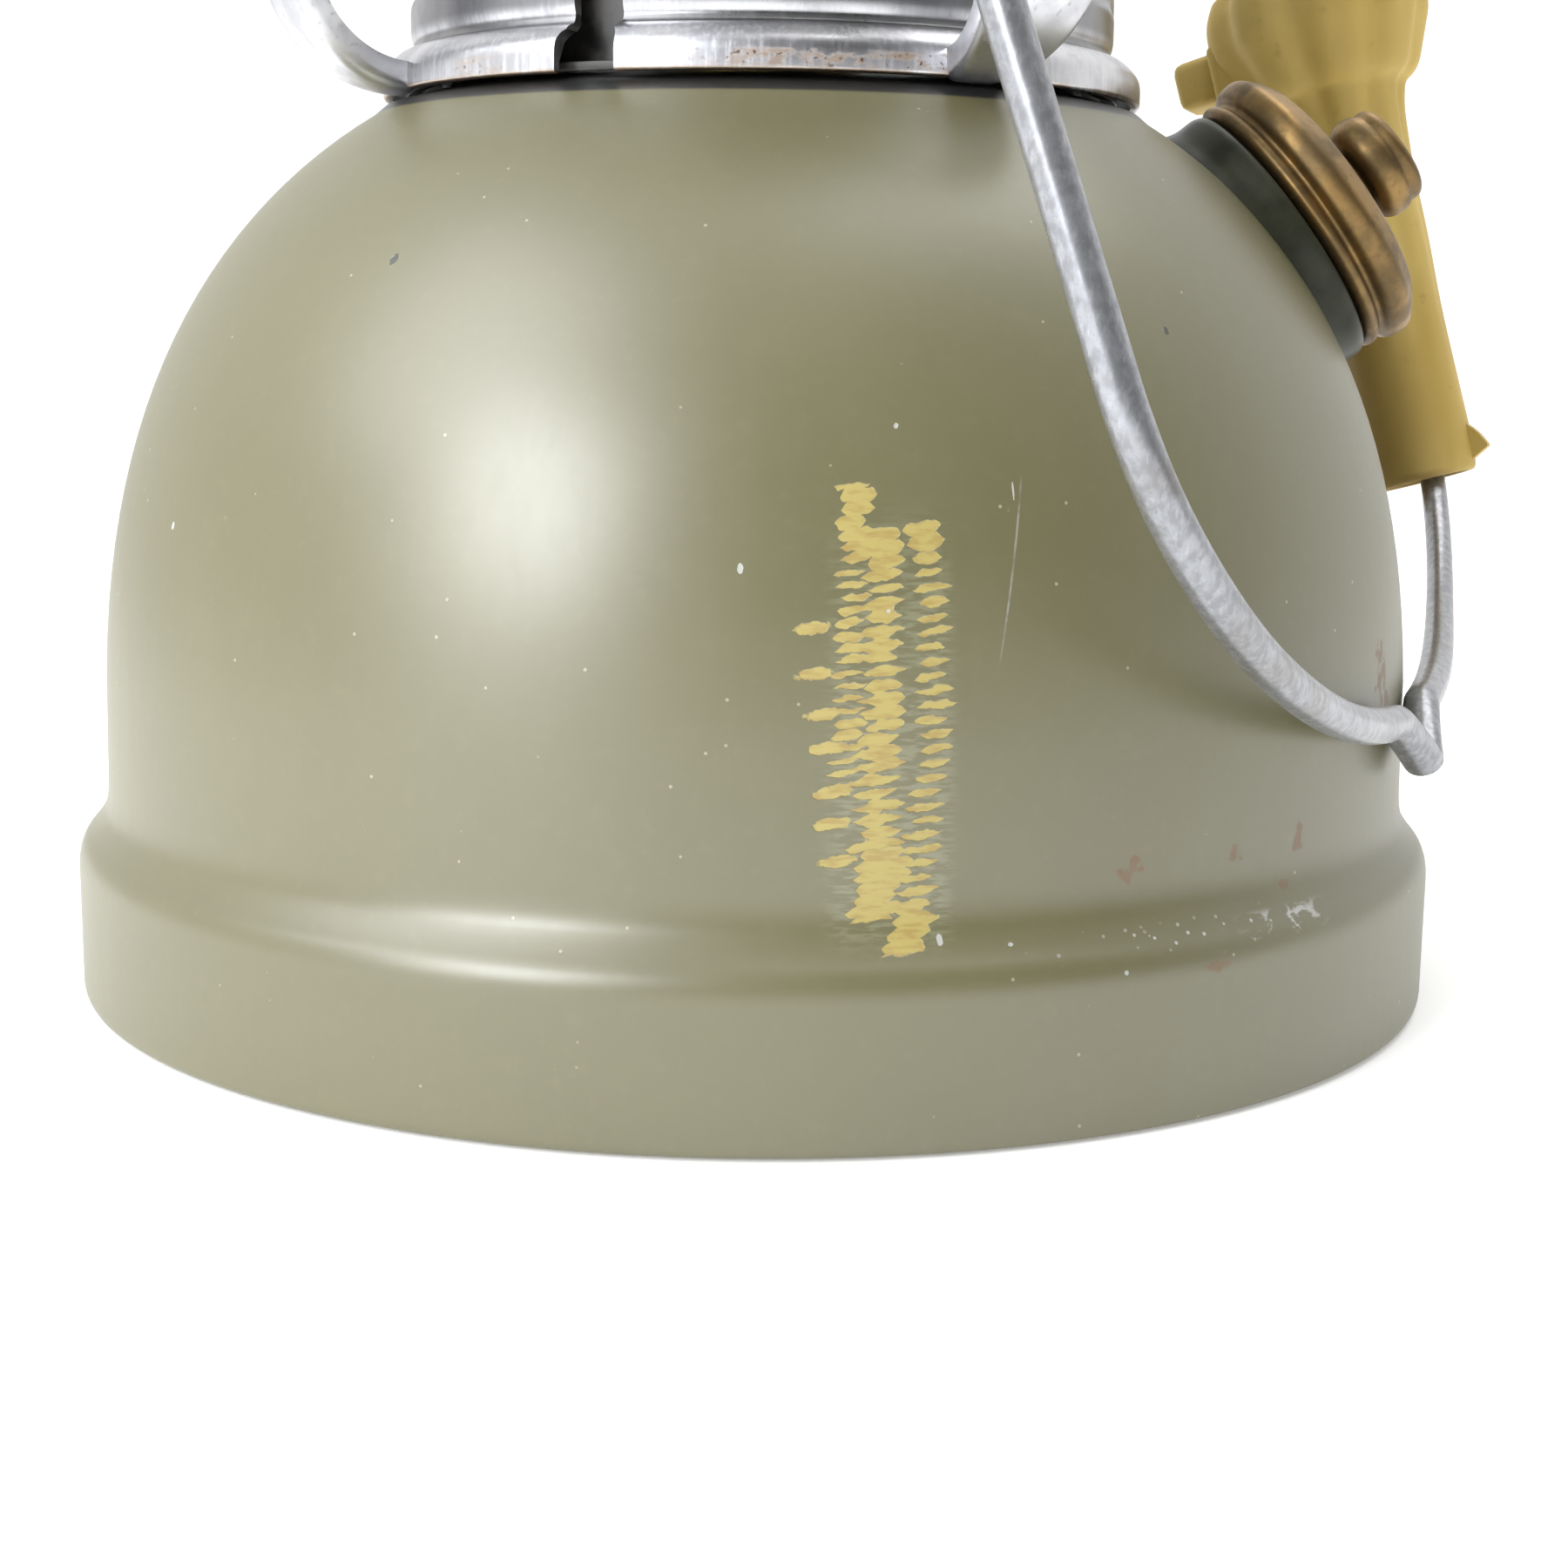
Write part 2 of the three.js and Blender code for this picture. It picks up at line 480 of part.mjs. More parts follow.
// The skirt flares from the rim up to the louvred drum; the cap closes the drum's top.
const skirtOutline = [
  [HOOD_RIM_RADIUS, HOOD_RIM], [HOOD_RIM_RADIUS, 257.5], [63, 264], [56, 271.6], [49, 276.8], [46, 279.4],
  [DRUM_RADIUS, DRUM_BOTTOM], [DRUM_RADIUS, DRUM_TOP],
];
const skirtInside = [
  [DRUM_RADIUS - SHEET, DRUM_TOP], [DRUM_RADIUS - SHEET, DRUM_BOTTOM - 0.3], [45, 278.8], [48.3, 275.9],
  [55.3, 270.7], [62.1, 263.3], [HOOD_RIM_RADIUS - SHEET, 257.2], [HOOD_RIM_RADIUS - SHEET, HOOD_RIM],
];
const louvre = shifted(block(8, 5.5, 15), DRUM_RADIUS, 0, (DRUM_BOTTOM + DRUM_TOP) / 2);
const louvres = [];
for (let i = 0; i < LOUVRE_COUNT; i++) louvres.push(moved(louvre, bearingTurn(i * 360 / LOUVRE_COUNT)));
add('hood_skirt', cut(turned([...skirtOutline, ...skirtInside], 28), ...louvres), 'olive');

const CAP_SEAT = DRUM_TOP + GAP;
add('hood_cap', turned([
  [DRUM_RADIUS - 3, CAP_SEAT], [CAP_RADIUS - 0.6, CAP_SEAT], [CAP_RADIUS, CAP_SEAT + 2.6], [46.4, 313],
  [38, 321], [26, 327.4], [12, 331], [2.9, HOOD_TOP], [2.9, HOOD_TOP - SHEET], [12, 329.8],
  [25.4, 326.2], [37.3, 320], [45.3, 312.4], [CAP_RADIUS - 1.3, CAP_SEAT + 2.7],
  [CAP_RADIUS - 1.6, CAP_SEAT + SHEET],
  [DRUM_RADIUS - 3, CAP_SEAT + SHEET],
], 28), 'olive');
add('hood_stud', rod(2.5, BRIDGE_HIGH + GAP, 341, 12), 'steel');
add('hood_nut', turned([
  [2.9, HOOD_TOP + GAP], [7.6, HOOD_TOP + GAP], [8.4, 334], [8.4, 338], [7, 340.5], [7, 343], [4.6, 345.4],
  [0, NUT_TOP], [0, 342], [2.9, 342],
], 20), 'brass');

// ---------------------------------------------------------------- bail and its sleeve

// The bail's own plane: across the lamp, down the arm, and square to both.
const turn = radians(BAIL_TURN);
const tilt = radians(BAIL_TILT);
const ACROSS = new THREE.Vector3(Math.cos(turn), Math.sin(turn), 0);
const OUTWARD = new THREE.Vector3(Math.sin(turn), -Math.cos(turn), 0);
const DOWN = OUTWARD.clone().multiplyScalar(Math.sin(tilt)).addScaledVector(UP, -Math.cos(tilt));
const SQUARE = OUTWARD.clone().multiplyScalar(Math.cos(tilt)).addScaledVector(UP, Math.sin(tilt));
const bailPoint = (across, down, square = 0) => new THREE.Vector3(0, 0, PIVOT_HEIGHT)
  .addScaledVector(ACROSS, across).addScaledVector(DOWN, down).addScaledVector(SQUARE, square);

// Depth of the rounded end below the pivots at a distance across, with the hanging notch in its middle.
function bailDepth(across) {
  const share = Math.min(Math.abs(across) / BAIL_HALF_WIDTH, 1);
  const end = BAIL_ARM + BAIL_END * (1 - share ** BAIL_POWER) ** (1 / BAIL_POWER);
  const notch = Math.max(0, 1 - Math.abs(across) / NOTCH_HALF_WIDTH);
  return end + NOTCH_DEPTH * notch ** 1.3;
}

// Half of the wire's centre line, from the hook in the ear to the middle of the rounded end.
function halfBail() {
  const points = [[BAIL_HALF_WIDTH - HOOK_LENGTH, 0], [BAIL_HALF_WIDTH - HOOK_BEND, 0]];
  for (const a of [22.5, 45, 67.5]) {
    const bent = radians(a);
    points.push([BAIL_HALF_WIDTH - HOOK_BEND * (1 - Math.sin(bent)), HOOK_BEND * (1 - Math.cos(bent))]);
  }
  points.push([BAIL_HALF_WIDTH, HOOK_BEND]);
  for (let i = 1; i <= 4; i++) points.push([BAIL_HALF_WIDTH, HOOK_BEND + (BAIL_ARM - HOOK_BEND) * i / 4]);
  for (let a = 8; a <= 80; a += 8) {
    const across = BAIL_HALF_WIDTH * Math.cos(radians(a));
    points.push([across, bailDepth(across)]);
  }
  for (const across of [NOTCH_HALF_WIDTH, 6.5, 4, 2, 0]) points.push([across, bailDepth(across)]);
  return points;
}

// How far the rear arm stands out of the bail's plane: nothing at the ear, the notch and the front arm.
function bailBow(across, down) {
  const ease = (share) => THREE.MathUtils.smoothstep(share, 0, 1);
  return REAR_BOW * ease((down - HOOK_BEND) / 60) * ease((across - NOTCH_HALF_WIDTH) / 50);
}

// A round wire along a route of [across, down] points in the bail's plane, bent where the rear arm is.
function wire(route, radius, sides) {
  const centres = route.map(([across, down]) => bailPoint(across, down, bailBow(across, down)));
  const positions = [];
  const index = [];
  centres.forEach((centre, i) => {
    const before = centres[Math.max(i - 1, 0)];
    const after = centres[Math.min(i + 1, centres.length - 1)];
    const along = after.clone().sub(before).normalize();
    const side = along.clone().cross(SQUARE);
    for (let k = 0; k < sides; k++) {
      const a = 2 * Math.PI * k / sides;
      const corner = centre.clone().addScaledVector(side, radius * Math.cos(a));
      positions.push(...corner.addScaledVector(SQUARE, radius * Math.sin(a)).toArray());
    }
  });
  for (let i = 0; i + 1 < centres.length; i++) {
    for (let k = 0; k < sides; k++) {
      const [a, b] = [i * sides + k, i * sides + (k + 1) % sides];
      index.push(a, b, b + sides, a, b + sides, a + sides);
    }
  }
  const last = (centres.length - 1) * sides;
  for (let k = 1; k + 1 < sides; k++) index.push(0, k + 1, k, last, last + k, last + k + 1);
  const geometry = new THREE.BufferGeometry();
  geometry.setAttribute('position', new THREE.Float32BufferAttribute(positions, 3));
  geometry.setIndex(index);
  return clean(geometry);
}

const half = halfBail();
const whole = [...half, ...half.slice(0, -1).reverse().map(([across, down]) => [-across, down])];
add('bail_wire', wire(whole, BAIL_WIRE_RADIUS, 8), 'wire');

// The sleeve's own frame: local +Z runs up its axis from the lower end, local +X out of the bail's plane.
const gripDown = (PIVOT_HEIGHT - GRIP_BOTTOM_HEIGHT) / Math.cos(tilt);
const gripFoot = bailPoint(GRIP_BOTTOM_WIDTH, gripDown, GRIP_BOTTOM_LEAN);
const gripHead = bailPoint(BAIL_HALF_WIDTH, gripDown - GRIP_LENGTH, GRIP_TOP_LEAN);
const gripAxis = gripHead.clone().sub(gripFoot).normalize();
const gripSide = SQUARE.clone().addScaledVector(gripAxis, -SQUARE.dot(gripAxis)).normalize();
const GRIP = new THREE.Matrix4();
GRIP.makeBasis(gripSide, gripAxis.clone().cross(gripSide), gripAxis).setPosition(gripFoot);

const gripBody = turned([
  [6.1, 0], [7.1, 0], [7.5, 1], [7.6, 23], [8.2, 33], [8.3, 42], [8.6, 46.5], [9, 51.5], [9.8, 55],
  [11.6, 55.6], [12.4, 57], [14, 61], [15.3, 64], [14.6, 70], [12.5, GRIP_LENGTH - 0.5],
  [5.6, GRIP_LENGTH], [5.6, 26], [6.1, 22],
]);
const lug = shifted(block(10, 8, 6.8), -15.2, 0, 62.1);
const fin = uprightPlate([[6.5, 7], [8.8, 4.6], [9.8, 2.5], [6.5, 1]], 2.4, 0);
add('bail_grip', join(gripBody, lug, fin), 'yellow', GRIP);

export default lantern;
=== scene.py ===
"""Looks of a kerosene pressure lantern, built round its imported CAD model.

Lengths are in millimetres and become metres when a mesh is made. A bearing is in degrees from +X
towards +Y. The lantern's front faces -Y, its filler cap +X and its pump the back.
"""

import json
import math

import bmesh
import bpy
from mathutils import Matrix, Vector, noise


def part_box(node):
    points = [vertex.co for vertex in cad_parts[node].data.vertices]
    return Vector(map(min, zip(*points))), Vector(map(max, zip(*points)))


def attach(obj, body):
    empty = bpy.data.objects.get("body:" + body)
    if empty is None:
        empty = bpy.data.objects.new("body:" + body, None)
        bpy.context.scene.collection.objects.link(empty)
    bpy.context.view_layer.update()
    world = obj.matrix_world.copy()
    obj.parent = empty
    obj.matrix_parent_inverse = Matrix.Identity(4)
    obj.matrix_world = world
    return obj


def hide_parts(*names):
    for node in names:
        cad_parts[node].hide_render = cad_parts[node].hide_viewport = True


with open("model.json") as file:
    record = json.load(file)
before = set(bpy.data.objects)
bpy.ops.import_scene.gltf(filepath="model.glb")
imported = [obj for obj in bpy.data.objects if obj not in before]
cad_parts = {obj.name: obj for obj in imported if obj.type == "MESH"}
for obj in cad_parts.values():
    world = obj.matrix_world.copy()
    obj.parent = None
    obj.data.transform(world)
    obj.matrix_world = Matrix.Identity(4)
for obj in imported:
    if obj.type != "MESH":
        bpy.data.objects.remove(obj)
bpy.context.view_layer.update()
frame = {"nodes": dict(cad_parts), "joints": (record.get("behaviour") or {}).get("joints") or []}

MM = 0.001
UP = Vector((0, 0, 1))
NONE = Matrix.Identity(4)


# ---------------------------------------------------------------- places taken from the frame

def low(node):
    """Lowest corner of a CAD node."""
    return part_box(node)[0] / MM


def high(node):
    """Highest corner of a CAD node."""
    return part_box(node)[1] / MM


JOINTS = {joint["name"]: joint for joint in frame["joints"]}


def axis_frame(place, direction):
    """Placement at a point, with local +Z along a direction."""
    turn = UP.rotation_difference(Vector(direction)).to_matrix().to_4x4()
    return Matrix.Translation(Vector(place)) @ turn


def joint_frame(name):
    """Placement at a hinge's point, with local +Z along its axis."""
    joint = JOINTS[name]
    return axis_frame(Vector(joint["pos_m"]) / MM, joint["axis"])


def about_z(bearing):
    """Turn round +Z."""
    return Matrix.Rotation(math.radians(bearing), 4, "Z")


def upright(height):
    """Placement of an outline that stands at a height, across and up, and is pushed out along +X."""
    return Matrix(((0, 0, 1, 0), (1, 0, 0, 0), (0, 1, 0, height), (0, 0, 0, 1)))


SKIRT_RADIUS = high("tank_shell").x
TANK_TOP = high("tank_shell").z
COLLAR_RADIUS = high("gallery_ring").x
COLLAR_BOTTOM = low("gallery_ring").z
COLLAR_TOP = high("gallery_ring").z
RING_TOP = high("top_ring").z
RING_RADIUS = high("top_ring").x
GLOBE_BOTTOM = low("globe").z
GLOBE_TOP = high("globe").z
CASING_TOP = high("inner_casing").z
RIM_RADIUS = high("hood_skirt").x
RIM_BOTTOM = low("hood_skirt").z
DRUM_TOP = high("hood_skirt").z
CAP_RADIUS = high("hood_cap").x
CAP_TOP = high("hood_cap").z
FILLER = joint_frame("cap_turn")
CONTROL = joint_frame("control_turn")
PUMP_BEARING = math.radians(88)
PUMP_RADIUS = 62
PUMP_HEIGHT = 88
PUMP = axis_frame((PUMP_RADIUS * math.cos(PUMP_BEARING), PUMP_RADIUS * math.sin(PUMP_BEARING), PUMP_HEIGHT),
                  JOINTS["pump_stroke"]["axis"])
PIVOT_HEIGHT = JOINTS["bail_swing"]["pos_m"][2] / MM
SLOT_BEARING = 66
STRAP_BEARINGS = {"guard_strap_1": 44, "guard_strap_2": 109.5, "guard_strap_3": 203.5, "guard_strap_4": 300}


# ---------------------------------------------------------------- mesh helpers

def filleted(corners, steps=5, closed=True):
    """Outline through corners of (x, y, fillet); a corner without a fillet stays sharp."""
    outline = []
    count = len(corners)
    for i, corner in enumerate(corners):
        point = Vector(corner[:2])
        fillet = corner[2] if len(corner) > 2 else 0
        at_end = not closed and i in (0, count - 1)
        if fillet == 0 or at_end:
            outline.append(tuple(point))
            continue
        before = Vector(corners[i - 1][:2]) - point
        after = Vector(corners[(i + 1) % count][:2]) - point
        start = point + before.normalized() * min(fillet, before.length * 0.48)
        end = point + after.normalized() * min(fillet, after.length * 0.48)
        for k in range(steps + 1):
            t = k / steps
            outline.append(tuple(start * (1 - t) ** 2 + point * 2 * t * (1 - t) + end * t ** 2))
    return outline


def sheet(outer, thickness):
    """Closed profile of sheet metal: the outline, and its copy moved to the left of its direction."""
    inner = []
    for i, point in enumerate(outer):
        before = Vector(outer[max(i - 1, 0)])
        after = Vector(outer[min(i + 1, len(outer) - 1)])
        along = (after - before).normalized()
        inner.append((point[0] - along.y * thickness, point[1] + along.x * thickness))
    return list(outer) + inner[::-1]


def turned(profile, segments=96, shape=None):
    """A profile of (radius, height) turned round +Z. A profile off the axis closes on itself.
    shape(radius, height, angle) may change a point's radius."""
    closed = profile[0][0] > 0 or profile[-1][0] > 0
    points = []
    rings = []
    for radius, height in profile:
        start = len(points)
        if radius == 0:
            points.append((0, 0, height))
            rings.append([start] * segments)
            continue
        for k in range(segments):
            angle = 2 * math.pi * k / segments
            r = shape(radius, height, angle) if shape else radius
            points.append((r * math.cos(angle), r * math.sin(angle), height))
        rings.append(list(range(start, start + segments)))
    pairs = list(zip(rings, rings[1:]))
    if closed:
        pairs.append((rings[-1], rings[0]))
    faces = []
    for here, there in pairs:
        for k in range(segments):
            n = (k + 1) % segments
            face = list(dict.fromkeys([here[k], here[n], there[n], there[k]]))
            if len(face) > 2:
                faces.append(face)
    return points, faces


def lathed(corners, steps, segments, shape=None):
    """Corners of (radius, height, fillet) turned round +Z."""
    return turned(filleted(corners, steps), segments, shape)


def scalloped(count, depth, beyond):
    """A turned shape's change of radius that cuts a count of flutes into what lies beyond a radius."""
    def shape(radius, height, angle):
        return radius - (depth * abs(math.sin(count * angle)) if radius > beyond else 0)
    return shape


def cylinder(radius, bottom, top, segments):
    """A plain cylinder on +Z."""
    return turned([(0, bottom), (radius, bottom), (radius, top), (0, top)], segments)


def swept(centres, sections, closed=False):
    """A skin through one section of 3-D points at each centre; all sections have equal counts."""
    count = len(sections[0])
    points = [point for section in sections for point in section]
    faces = []
    for i in range(len(centres) if closed else len(centres) - 1):
        here = i * count
        there = (i + 1) % len(centres) * count
        for k in range(count):
            n = (k + 1) % count
            faces.append([here + k, here + n, there + n, there + k])
    if not closed:
        faces.append(list(range(count))[::-1])
        faces.append(list(range(len(points) - count, len(points))))
    return points, faces


def tube_along(centres, radius, square, sides=12, closed=False, squeeze=None):
    """A round bar along a route of points that bends in the plane square to the given direction.
    squeeze(step) gives the bar's width and height as shares of the radius."""
    sections = []
    count = len(centres)
    for i, centre in enumerate(centres):
        before = centres[i - 1] if closed else centres[max(i - 1, 0)]
        after = centres[(i + 1) % count] if closed else centres[min(i + 1, count - 1)]
        side = (after - before).normalized().cross(square).normalized()
        wide, tall = squeeze(i) if squeeze else (1, 1)
        section = []
        for k in range(sides):
            angle = 2 * math.pi * k / sides
            section.append(centre + side * radius * wide * math.cos(angle)
                           + square * radius * tall * math.sin(angle))
        sections.append(section)
    return swept(centres, sections, closed)


def extruded(outline, bottom, top):
    """An outline of (x, y) pushed from one height to another."""
    count = len(outline)
    points = [(x, y, z) for z in (bottom, top) for x, y in outline]
    faces = [list(range(count))[::-1], list(range(count, 2 * count))]
    for k in range(count):
        n = (k + 1) % count
        faces.append([k, n, count + n, count + k])
    return points, faces


def rounded_block(size, rounding, segments=3):
    """A box about the origin with rounded edges."""
    box = bmesh.new()
    bmesh.ops.create_cube(box, size=1)
    bmesh.ops.scale(box, vec=size, verts=box.verts)
    bmesh.ops.bevel(box, geom=box.edges[:], offset=rounding, segments=segments, affect="EDGES", profile=0.5)
    points = [tuple(v.co) for v in box.verts]
    faces = [[v.index for v in f.verts] for f in box.faces]
    box.free()
    return points, faces


def placed(shape, place):
    """A shape moved by a matrix."""
    points, faces = shape
    return [tuple(place @ Vector(p)) for p in points], faces


def gathered(shapes):
    """Several separate shapes as one."""
    points = []
    faces = []
    for more_points, more_faces in shapes:
        start = len(points)
        points.extend(more_points)
        faces.extend([[start + i for i in face] for face in more_faces])
    return points, faces


def raw_object(shape):
    """A shape as a mesh object with faces turned outwards."""
    points, faces = shape
    mesh = bpy.data.meshes.new("shape")
    mesh.from_pydata([Vector(p) * MM for p in points], [], faces)
    edit = bmesh.new()
    edit.from_mesh(mesh)
    bmesh.ops.remove_doubles(edit, verts=edit.verts, dist=1e-7)
    bmesh.ops.recalc_face_normals(edit, faces=edit.faces)
    edit.to_mesh(mesh)
    edit.free()
    item = bpy.data.objects.new("shape", mesh)
    bpy.context.scene.collection.objects.link(item)
    return item


def solid(base, tools, operation):
    """The base shape with tool shapes cut from it or joined to it."""
    item = raw_object(base)
    helpers = [raw_object(tool) for tool in tools]
    for helper in helpers:
        modifier = item.modifiers.new("boolean", "BOOLEAN")
        modifier.operation = operation
        modifier.solver = "EXACT"
        modifier.object = helper
    graph = bpy.context.evaluated_depsgraph_get()
    result = bpy.data.meshes.new_from_object(item.evaluated_get(graph))
    points = [tuple(v.co / MM) for v in result.vertices]
    faces = [list(p.vertices) for p in result.polygons]
    for helper in [item] + helpers:
        bpy.data.objects.remove(helper)
    return points, faces


def carved(base, *tools):
    """The base shape with tool shapes cut away."""
    return solid(base, tools, "DIFFERENCE")


def united(base, *tools):
    """The base shape joined with others into one solid."""
    return solid(base, tools, "UNION")


def piece(name, shape, material, slot, body="lamp", nodes=(), place=NONE, sharp=38, bevel=0):
    """A finished piece: a shape with a material that rides on a body and stands for CAD nodes."""
    item = raw_object(placed(shape, place))
    item.name = name
    item.data.name = name
    if bevel:
        modifier = item.modifiers.new("bevel", "BEVEL")
        modifier.width = bevel * MM
        modifier.segments = 2
        modifier.limit_method = "ANGLE"
        modifier.angle_limit = math.radians(40)
    item.data.shade_smooth()
    item.data.set_sharp_from_angle(angle=math.radians(sharp))
    item.data.materials.append(MATERIALS[material])
    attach(item, body)
    if nodes:
        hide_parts(*nodes)


def fine(node, shape, material, slot=None, body="lamp", also=(), **options):
    """The finer piece for a CAD node. Its slot argument is not used."""
    piece(f"{node}_fine", shape, material, slot or material, body, [node, *also], **options)


# ---------------------------------------------------------------- material helpers

def srgb(red, green, blue):
    """A colour given as 0 to 255 levels of a screen, as the linear values that shaders use."""
    def linear(level):
        share = level / 255
        return share / 12.92 if share <= 0.04045 else ((share + 0.055) / 1.055) ** 2.4
    return (linear(red), linear(green), linear(blue), 1)


class Value:
    """An output of a material's node tree. Sums written with it add nodes, and | takes the higher of two."""

    def __init__(self, surface, socket):
        self.surface = surface
        self.socket = socket

    def __add__(self, other):
        return self.surface.math("ADD", self, other)

    def __sub__(self, other):
        return self.surface.math("SUBTRACT", self, other)

    def __rsub__(self, other):
        return self.surface.math("SUBTRACT", other, self)

    def __mul__(self, other):
        return self.surface.math("MULTIPLY", self, other)

    def __truediv__(self, other):
        return self.surface.math("DIVIDE", self, other)

    def __pow__(self, other):
        return self.surface.math("POWER", self, other)

    def __or__(self, other):
        return self.surface.math("MAXIMUM", self, other)

    def __abs__(self):
        return self.surface.math("ABSOLUTE", self)

    def fade(self, start, end, first=0.0, last=1.0, curve="SMOOTHSTEP"):
        """Goes smoothly from first to last as this value goes from start to end."""
        inputs = {"Value": self, "From Min": start, "From Max": end, "To Min": first, "To Max": last}
        return self.surface.add("ShaderNodeMapRange", "Result", inputs, interpolation_type=curve)

    def line(self, start, end, first, last):
        """Goes straight from first to last as this value goes from start to end."""
        return self.fade(start, end, first, last, "LINEAR")


class Surface:
    """A material whose node tree is built with short calls. Sizes of patterns are in millimetres."""

    def __init__(self, name, **values):
        self.material = bpy.data.materials.new(name)
        self.material.use_nodes = True
        self.nodes = self.material.node_tree.nodes
        self.links = self.material.node_tree.links
        self.shader = self.nodes["Principled BSDF"]
        self.position = self.add("ShaderNodeTexCoord", "Object")
        for socket, value in values.items():
            self.put(self.shader, socket.replace("_", " "), value)

    def put(self, node, socket, value):
        """Sets or links one input of a node."""
        target = node.inputs[socket]
        if isinstance(value, Value):
            self.links.new(value.socket, target)
        else:
            target.default_value = value

    def add(self, kind, output, inputs=(), **settings):
        """One output of a new node with these settings and inputs."""
        node = self.nodes.new(kind)
        for setting, value in settings.items():
            setattr(node, setting, value)
        for socket, value in dict(inputs).items():
            self.put(node, socket, value)
        return Value(self, node.outputs[output])

    def math(self, operation, *values):
        """One arithmetic step."""
        return self.add("ShaderNodeMath", 0, enumerate(values), operation=operation)

    def place(self):
        """X, Y and Z of the surface, in millimetres."""
        scaled = self.add("ShaderNodeVectorMath", 0, {0: self.position, "Scale": 1 / MM}, operation="SCALE")
        return [self.add("ShaderNodeSeparateXYZ", axis, {0: scaled}) for axis in "XYZ"]

    def noise(self, size, detail=3.0, stretch=None, distortion=0.0):
        """Cloudy values about 0.5 in features of a size. A stretch below 1 draws them out along its axis."""
        where = self.position
        if stretch:
            where = self.add("ShaderNodeMapping", 0, {"Vector": where, "Scale": stretch})
        inputs = {"Vector": where, "Scale": 1 / (size * MM), "Detail": detail, "Roughness": 0.55,
                  "Distortion": distortion}
        return self.add("ShaderNodeTexNoise", "Fac", inputs)

    def cells(self, size):
        """Distance to the nearest of scattered points, and that point's random value."""
        inputs = {"Vector": self.position, "Scale": 1 / (size * MM)}
        return [self.add("ShaderNodeTexVoronoi", output, inputs) for output in ("Distance", "Color")]

    def random(self, value):
        """One steady random number for each whole value."""
        return self.add("ShaderNodeTexWhiteNoise", "Value", {"W": value}, noise_dimensions="1D")

    def mix(self, factor, first, second):
        """A blend of two colours."""
        return self.add("ShaderNodeMix", 2, {0: factor, 6: first, 7: second}, data_type="RGBA")

    def bump(self, height, distance, strength=1.0):
        """Relief on top of any relief there already is."""
        normal = self.shader.inputs["Normal"]
        inputs = {"Height": height, "Distance": distance * MM, "Strength": strength}
        if normal.is_linked:
            inputs["Normal"] = Value(self, normal.links[0].from_socket)
        self.put(self.shader, "Normal", self.add("ShaderNodeBump", 0, inputs))

    def finish(self, color, roughness):
        """The material with its colour and roughness."""
        self.put(self.shader, "Base Color", color)
        self.put(self.shader, "Roughness", roughness)
        return self.material


# ---------------------------------------------------------------- painted metal

WALL_RADIUS = 78.9
OLIVE = srgb(104, 100, 66)
OLIVE_DARK = srgb(99, 95, 61)
OLIVE_LIGHT = srgb(112, 108, 75)
PRIMER = srgb(172, 155, 80)
PRIMER_ORANGE = srgb(158, 134, 62)
DUST = srgb(196, 190, 160)
# Black of the painted shade on the tank under the collar.
COLLAR_SHADE_BLACK = srgb(20, 21, 20)
# Light grey of the scuffed burrs beside the tool marks, partly a painted highlight on their raised edges.
BURR_AND_HIGHLIGHT = srgb(176, 178, 150)
CHIP = srgb(42, 42, 36)
RUST = srgb(122, 72, 38)
BARE_METAL = srgb(186, 187, 182)

# Lone chatter marks left of the main columns: arc position and height of each.
LONE_MARKS = [(5.2, 50.4), (5.5, 46.2), (6.3, 42.4), (6.6, 39.2), (7.2, 35.0), (7.2, 32.0), (7.7, 28.4)]
# Chips and rust on the paint: arc position, height, half width and half height.
DARK_CHIPS = [(-47.6, 84.4, 0.55, 0.6), (50.1, 78.2, 0.35, 0.45)]
WHITE_CHIPS = [(-74.4, 56.8, 0.3, 0.4), (-1.7, 55.8, 0.28, 0.5), (17.6, 20.8, 0.3, 0.6),
               (14.0, 69.0, 0.3, 0.3),
               (26.0, 63.0, 0.1, 0.8), (24.6, 20.0, 0.3, 0.2), (36.0, 16.6, 0.25, 0.25),
               (12.6, 52.0, 0.2, 0.2)]
RUST_SPOTS = [(38.6, 25.8, 1.6, 1.3), (52.6, 26.2, 1.3, 0.9), (63.6, 26.6, 1.5, 1.9), (47.1, 16.0, 2.2, 0.7),
              (84.6, 41.5, 2.4, 3.4), (87.0, 38.0, 1.6, 2.0), (60.0, 22.0, 1.2, 0.6)]
# How much a chatter mark climbs to the right.
CHATTER_SLOPE = 0.12
# Radius of the painted shade on the tank under the collar: a black ring where the gap lies in shadow.
COLLAR_SHADE_RADIUS = 46.4


def paint_base(name):
    """Semi-gloss olive enamel with faint unevenness, dust and orange peel."""
    s = Surface(name, IOR=1.95)
    broad = s.noise(26)
    rubbed = s.noise(1.1, 3, (1, 1, 0.08))
    color = s.mix(broad.fade(0.3, 0.72, 0.25), OLIVE_DARK, OLIVE)
    color = s.mix(s.noise(1.6).fade(0.5, 0.85, 0, 0.4), color, OLIVE_LIGHT)
    color = s.mix(rubbed.fade(0.55, 0.8, 0, 0.14), color, OLIVE_LIGHT)
    distance, tint = s.cells(2.3)
    speck = distance.fade(0.1, 0.04) * tint.fade(0.74, 0.78)
    color = s.mix(speck * 0.55, color, DUST)
    s.bump(s.noise(2.6, 2), 0.018, 0.35)
    s.bump(s.noise(0.5, 2), 0.004, 0.5)
    return s, color, broad.fade(0.3, 0.7, 0.37, 0.395) + rubbed.fade(0.4, 0.8, 0, 0.02)


def olive_paint():
    """The paint of the hood, pan and flanges."""
    s, color, roughness = paint_base("olive_paint")
    return s.finish(color, roughness)


